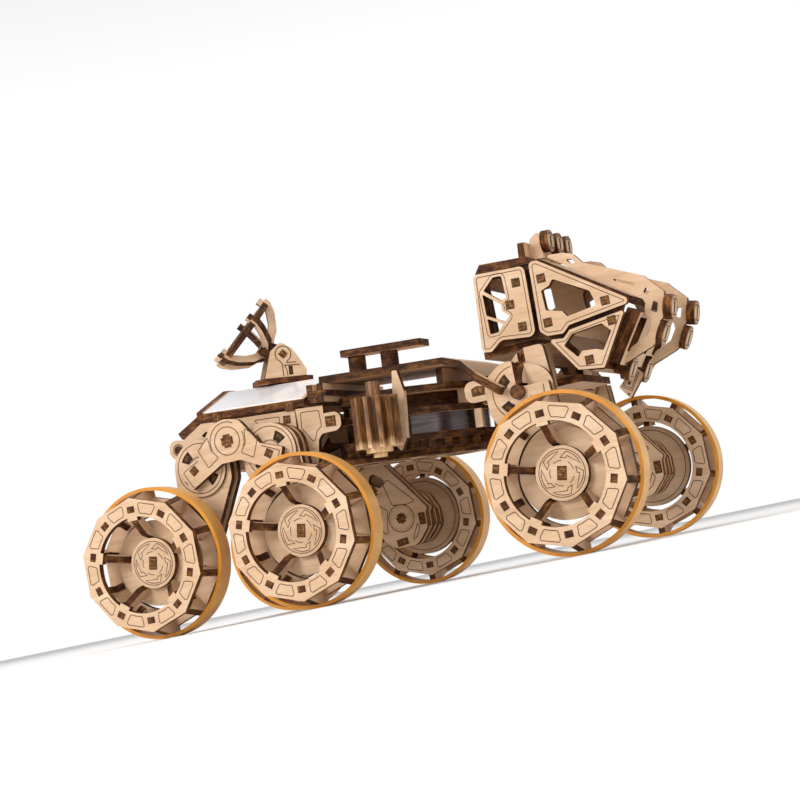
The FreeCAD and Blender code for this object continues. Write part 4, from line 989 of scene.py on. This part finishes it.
# ------------------------------------------------------------------- cab
PANEL_REAR = [(63.2, 122.6, 2.5), (85.8, 121.0, 2.5), (84.8, 91.3, 3), (69.8, 93.2, 3), (64.6, 89.4, 2), (60.6, 90.0, 2)]
WINDOW_REAR = [(65.6, 114.4, 0.4), (71.6, 119.6, 1), (75.4, 119.4, 1), (75.6, 110.0, 0.5), (72.8, 108.4, 0.5), (72.8, 104.6, 0.5), (75.8, 102.2, 0.8), (69.2, 96.6, 1.5), (65.6, 96.6, 0.6)]
PANEL_FRONT = [(88.0, 121.8, 2.5), (91.5, 121.8, 1.5), (125.6, 97.4, 1.5), (125.2, 95.2, 1.5), (99.6, 92.4, 1), (96.4, 89.6, 1.5), (89.6, 90.2, 2.5), (86.8, 92.6, 2.5)]
WINDOW_FRONT = [(96.6, 112.6, 1), (111.0, 104.0, 1.5), (112.6, 97.6, 0.8), (99.6, 96.0, 0.8), (98.0, 98.6, 1), (91.2, 100.6, 1), (90.9, 109.0, 0.6), (94.6, 110.2, 1)]
PANEL_LOWER = [(89.8, 88.4, 0.8), (96.2, 87.6, 1), (99.2, 90.4, 1), (123.6, 93.0, 0.8), (110.4, 72.0, 1), (99.6, 73.6, 1)]
WINDOW_LOWER = [(95.6, 84.6, 0.8), (100.0, 88.6, 0.8), (113.0, 89.8, 0.6), (116.4, 86.0, 0.6), (111.6, 79.0, 0.6), (108.6, 80.2, 1), (102.6, 80.8, 1), (100.6, 78.6, 0.6)]
t = Trim("marks_cab_panels", "chassis")
for side in (-1, 1):
    t.side(side, 35.0)
    for panel, window, tabs in (
        (PANEL_REAR, WINDOW_REAR, ((81.0, 115.0), (76.6, 106.6), (80.0, 96.5))),
        (PANEL_FRONT, WINDOW_FRONT, ((92.0, 114.0), (91.0, 95.5), (116.5, 98.5))),
        (PANEL_LOWER, WINDOW_LOWER, ((117.5, 90.0), (105.0, 76.5))),
    ):
        t.strip(rounded(inset(panel, 1.35)), width=0.22)
        for i, (u, v) in enumerate(tabs):
            t.tab(u, v, 3.3, 3.3, -3 if panel is PANEL_REAR else 0, 2)
    t.strip(rounded(inset(WINDOW_REAR, -1.2)), width=0.2)
t.make()

# ------------------------------------------------------------------ lamps
t = Trim("marks_lamps", "chassis")


def lamp_face(t, r):
    t.strip(circle(0, 0, r - 0.62, 36), width=0.28)
    # the lamp's slot as a dark patch of painted shade
    t.block([(-0.95, -2.4), (0.95, -2.4), (0.95, 2.4), (-0.95, 2.4)], t.HOLE, 0.05)
    t.strip([(-0.05, -2.2), (-0.05, 2.2)], False, 0.3, 0.07, t.TAB)
    for a in (58, 122, 238, 302):
        c, s = math.cos(math.radians(a)), math.sin(math.radians(a))
        t.strip([(2.9 * c, 2.9 * s), (4.0 * c, 4.0 * s)], False, 0.7, 0.05)
    for k in (-1, 1):
        t.strip(circle(0, 0, 3.3, 36, k * 90 - 24, k * 90 + 24), False, 0.42)


def leaning(t, x, z, deg, lx, y, lz):
    a = math.radians(deg)
    n = Vector((math.cos(a), 0, -math.sin(a)))
    up = Vector((math.sin(a), 0, math.cos(a)))
    o = Vector((x + FOREAFT, y, z)) + n * lx + up * lz
    t.at(o, (0, 1, 0), tuple(up), tuple(n))


for y in (-20.0, 20.0):
    leaning(t, 140.4, 90.9, 15, 0.0, y, 0.0)
    lamp_face(t, 5.2)
    leaning(t, 132.4, 82.7, 28, 2.8, y, -0.4)
    lamp_face(t, 5.2)
for y in (-12.2, 12.2):
    leaning(t, 132.4, 82.7, 28, -8.6, y, -18.3)
    lamp_face(t, 5.2)
for y in (-13.0, 0.0, 13.0):
    leaning(t, 89.6, 132.4, 5, 3.6, y, 0.0)
    lamp_face(t, 4.7)
t.make()

# ---------------------------------------------------- camera, light and floor
scene = bpy.context.scene
scene.view_settings.view_transform = "Standard"
cam_data = bpy.data.cameras.new("camera")
cam_data.sensor_width = 36.0
cam_data.lens = 79.114
cam_data.clip_start = 0.01
cam_data.clip_end = 30.0
cam = bpy.data.objects.new("camera", cam_data)
scene.collection.objects.link(cam)
scene.camera = cam
place = Vector((0.29370 + FOREAFT * MM, -0.71019, -0.08928))
right = Vector((0.89121, 0.40966, -0.19475))
up = Vector((0.26769, -0.12839, 0.95491))
fwd = Vector((-0.36619, 0.90316, 0.22408))
view = Matrix((right, up, -fwd)).transposed()
# the camera swings up about the model's middle until it is level with the floor
pivot = Vector((0.004, -0.030, 0.072))
raise_by = math.radians(7.25)
swing_axis = Vector((fwd.y, -fwd.x, 0)).normalized()
swing = Matrix.Rotation(-raise_by, 3, swing_axis)
place = pivot + swing @ (place - pivot)
view = swing @ view
cam.matrix_world = Matrix.Translation(place) @ view.to_4x4()

# a white sweep all round at the height of the model, dimmer overhead
world = bpy.data.worlds.new("studio")
scene.world = world
world.use_nodes = True
wt = world.node_tree
bg = wt.nodes["Background"]
wc = wt.nodes.new("ShaderNodeTexCoord")
wx = wt.nodes.new("ShaderNodeSeparateXYZ")
wt.links.new(wc.outputs["Generated"], wx.inputs["Vector"])
wr = wt.nodes.new("ShaderNodeValToRGB")
wr.color_ramp.elements[0].position = 0.30
wr.color_ramp.elements[0].color = (1.0, 1.0, 1.0, 1.0)
wr.color_ramp.elements[1].position = 0.62
wr.color_ramp.elements[1].color = (0.42, 0.42, 0.43, 1.0)
wt.links.new(wx.outputs["Z"], wr.inputs["Fac"])
wt.links.new(wr.outputs["Color"], bg.inputs["Color"])
bg.inputs["Strength"].default_value = 1.0


def area(name, loc, target, size, power, colour=(1, 1, 1)):
    d = bpy.data.lights.new(name, "AREA")
    d.energy = power
    d.size = size
    d.color = colour
    o = bpy.data.objects.new(name, d)
    o.location = loc
    o.rotation_euler = (Vector(target) - Vector(loc)).to_track_quat("-Z", "Y").to_euler()
    scene.collection.objects.link(o)
    return o


area("key", (-0.45, -1.15, 0.62), (0, 0, 0.06), 0.45, 9.0, (1.0, 0.975, 0.94))
area("fill", (1.0, -0.6, 0.30), (0, 0, 0.06), 0.6, 1.2, (1.0, 0.98, 0.96))
area("over", (0.0, 0.1, 1.6), (0, 0, 0.0), 1.6, 13.0)

fm = Mat("studio_floor")
g, h, f = across((0, 0, 1))
fn = fm.noise(fm.axes(g, h, f, 6.0, 6.0, 6.0), 1.0, 3.0)
fm.link(fm.ramp(fn, [(0.3, srgb(243, 242, 240)), (0.7, srgb(248, 247, 246))]), fm.bsdf.inputs["Base Color"])
fm.bsdf.inputs["Roughness"].default_value = 0.75
me = bpy.data.meshes.new("floor")
R = 14.0
me.from_pydata([(-R, -R, 0), (R, -R, 0), (R, R, 0), (-R, R, 0)], [], [(0, 1, 2, 3)])
me.materials.append(fm.mat)
floor = bpy.data.objects.new("floor", me)
scene.collection.objects.link(floor)
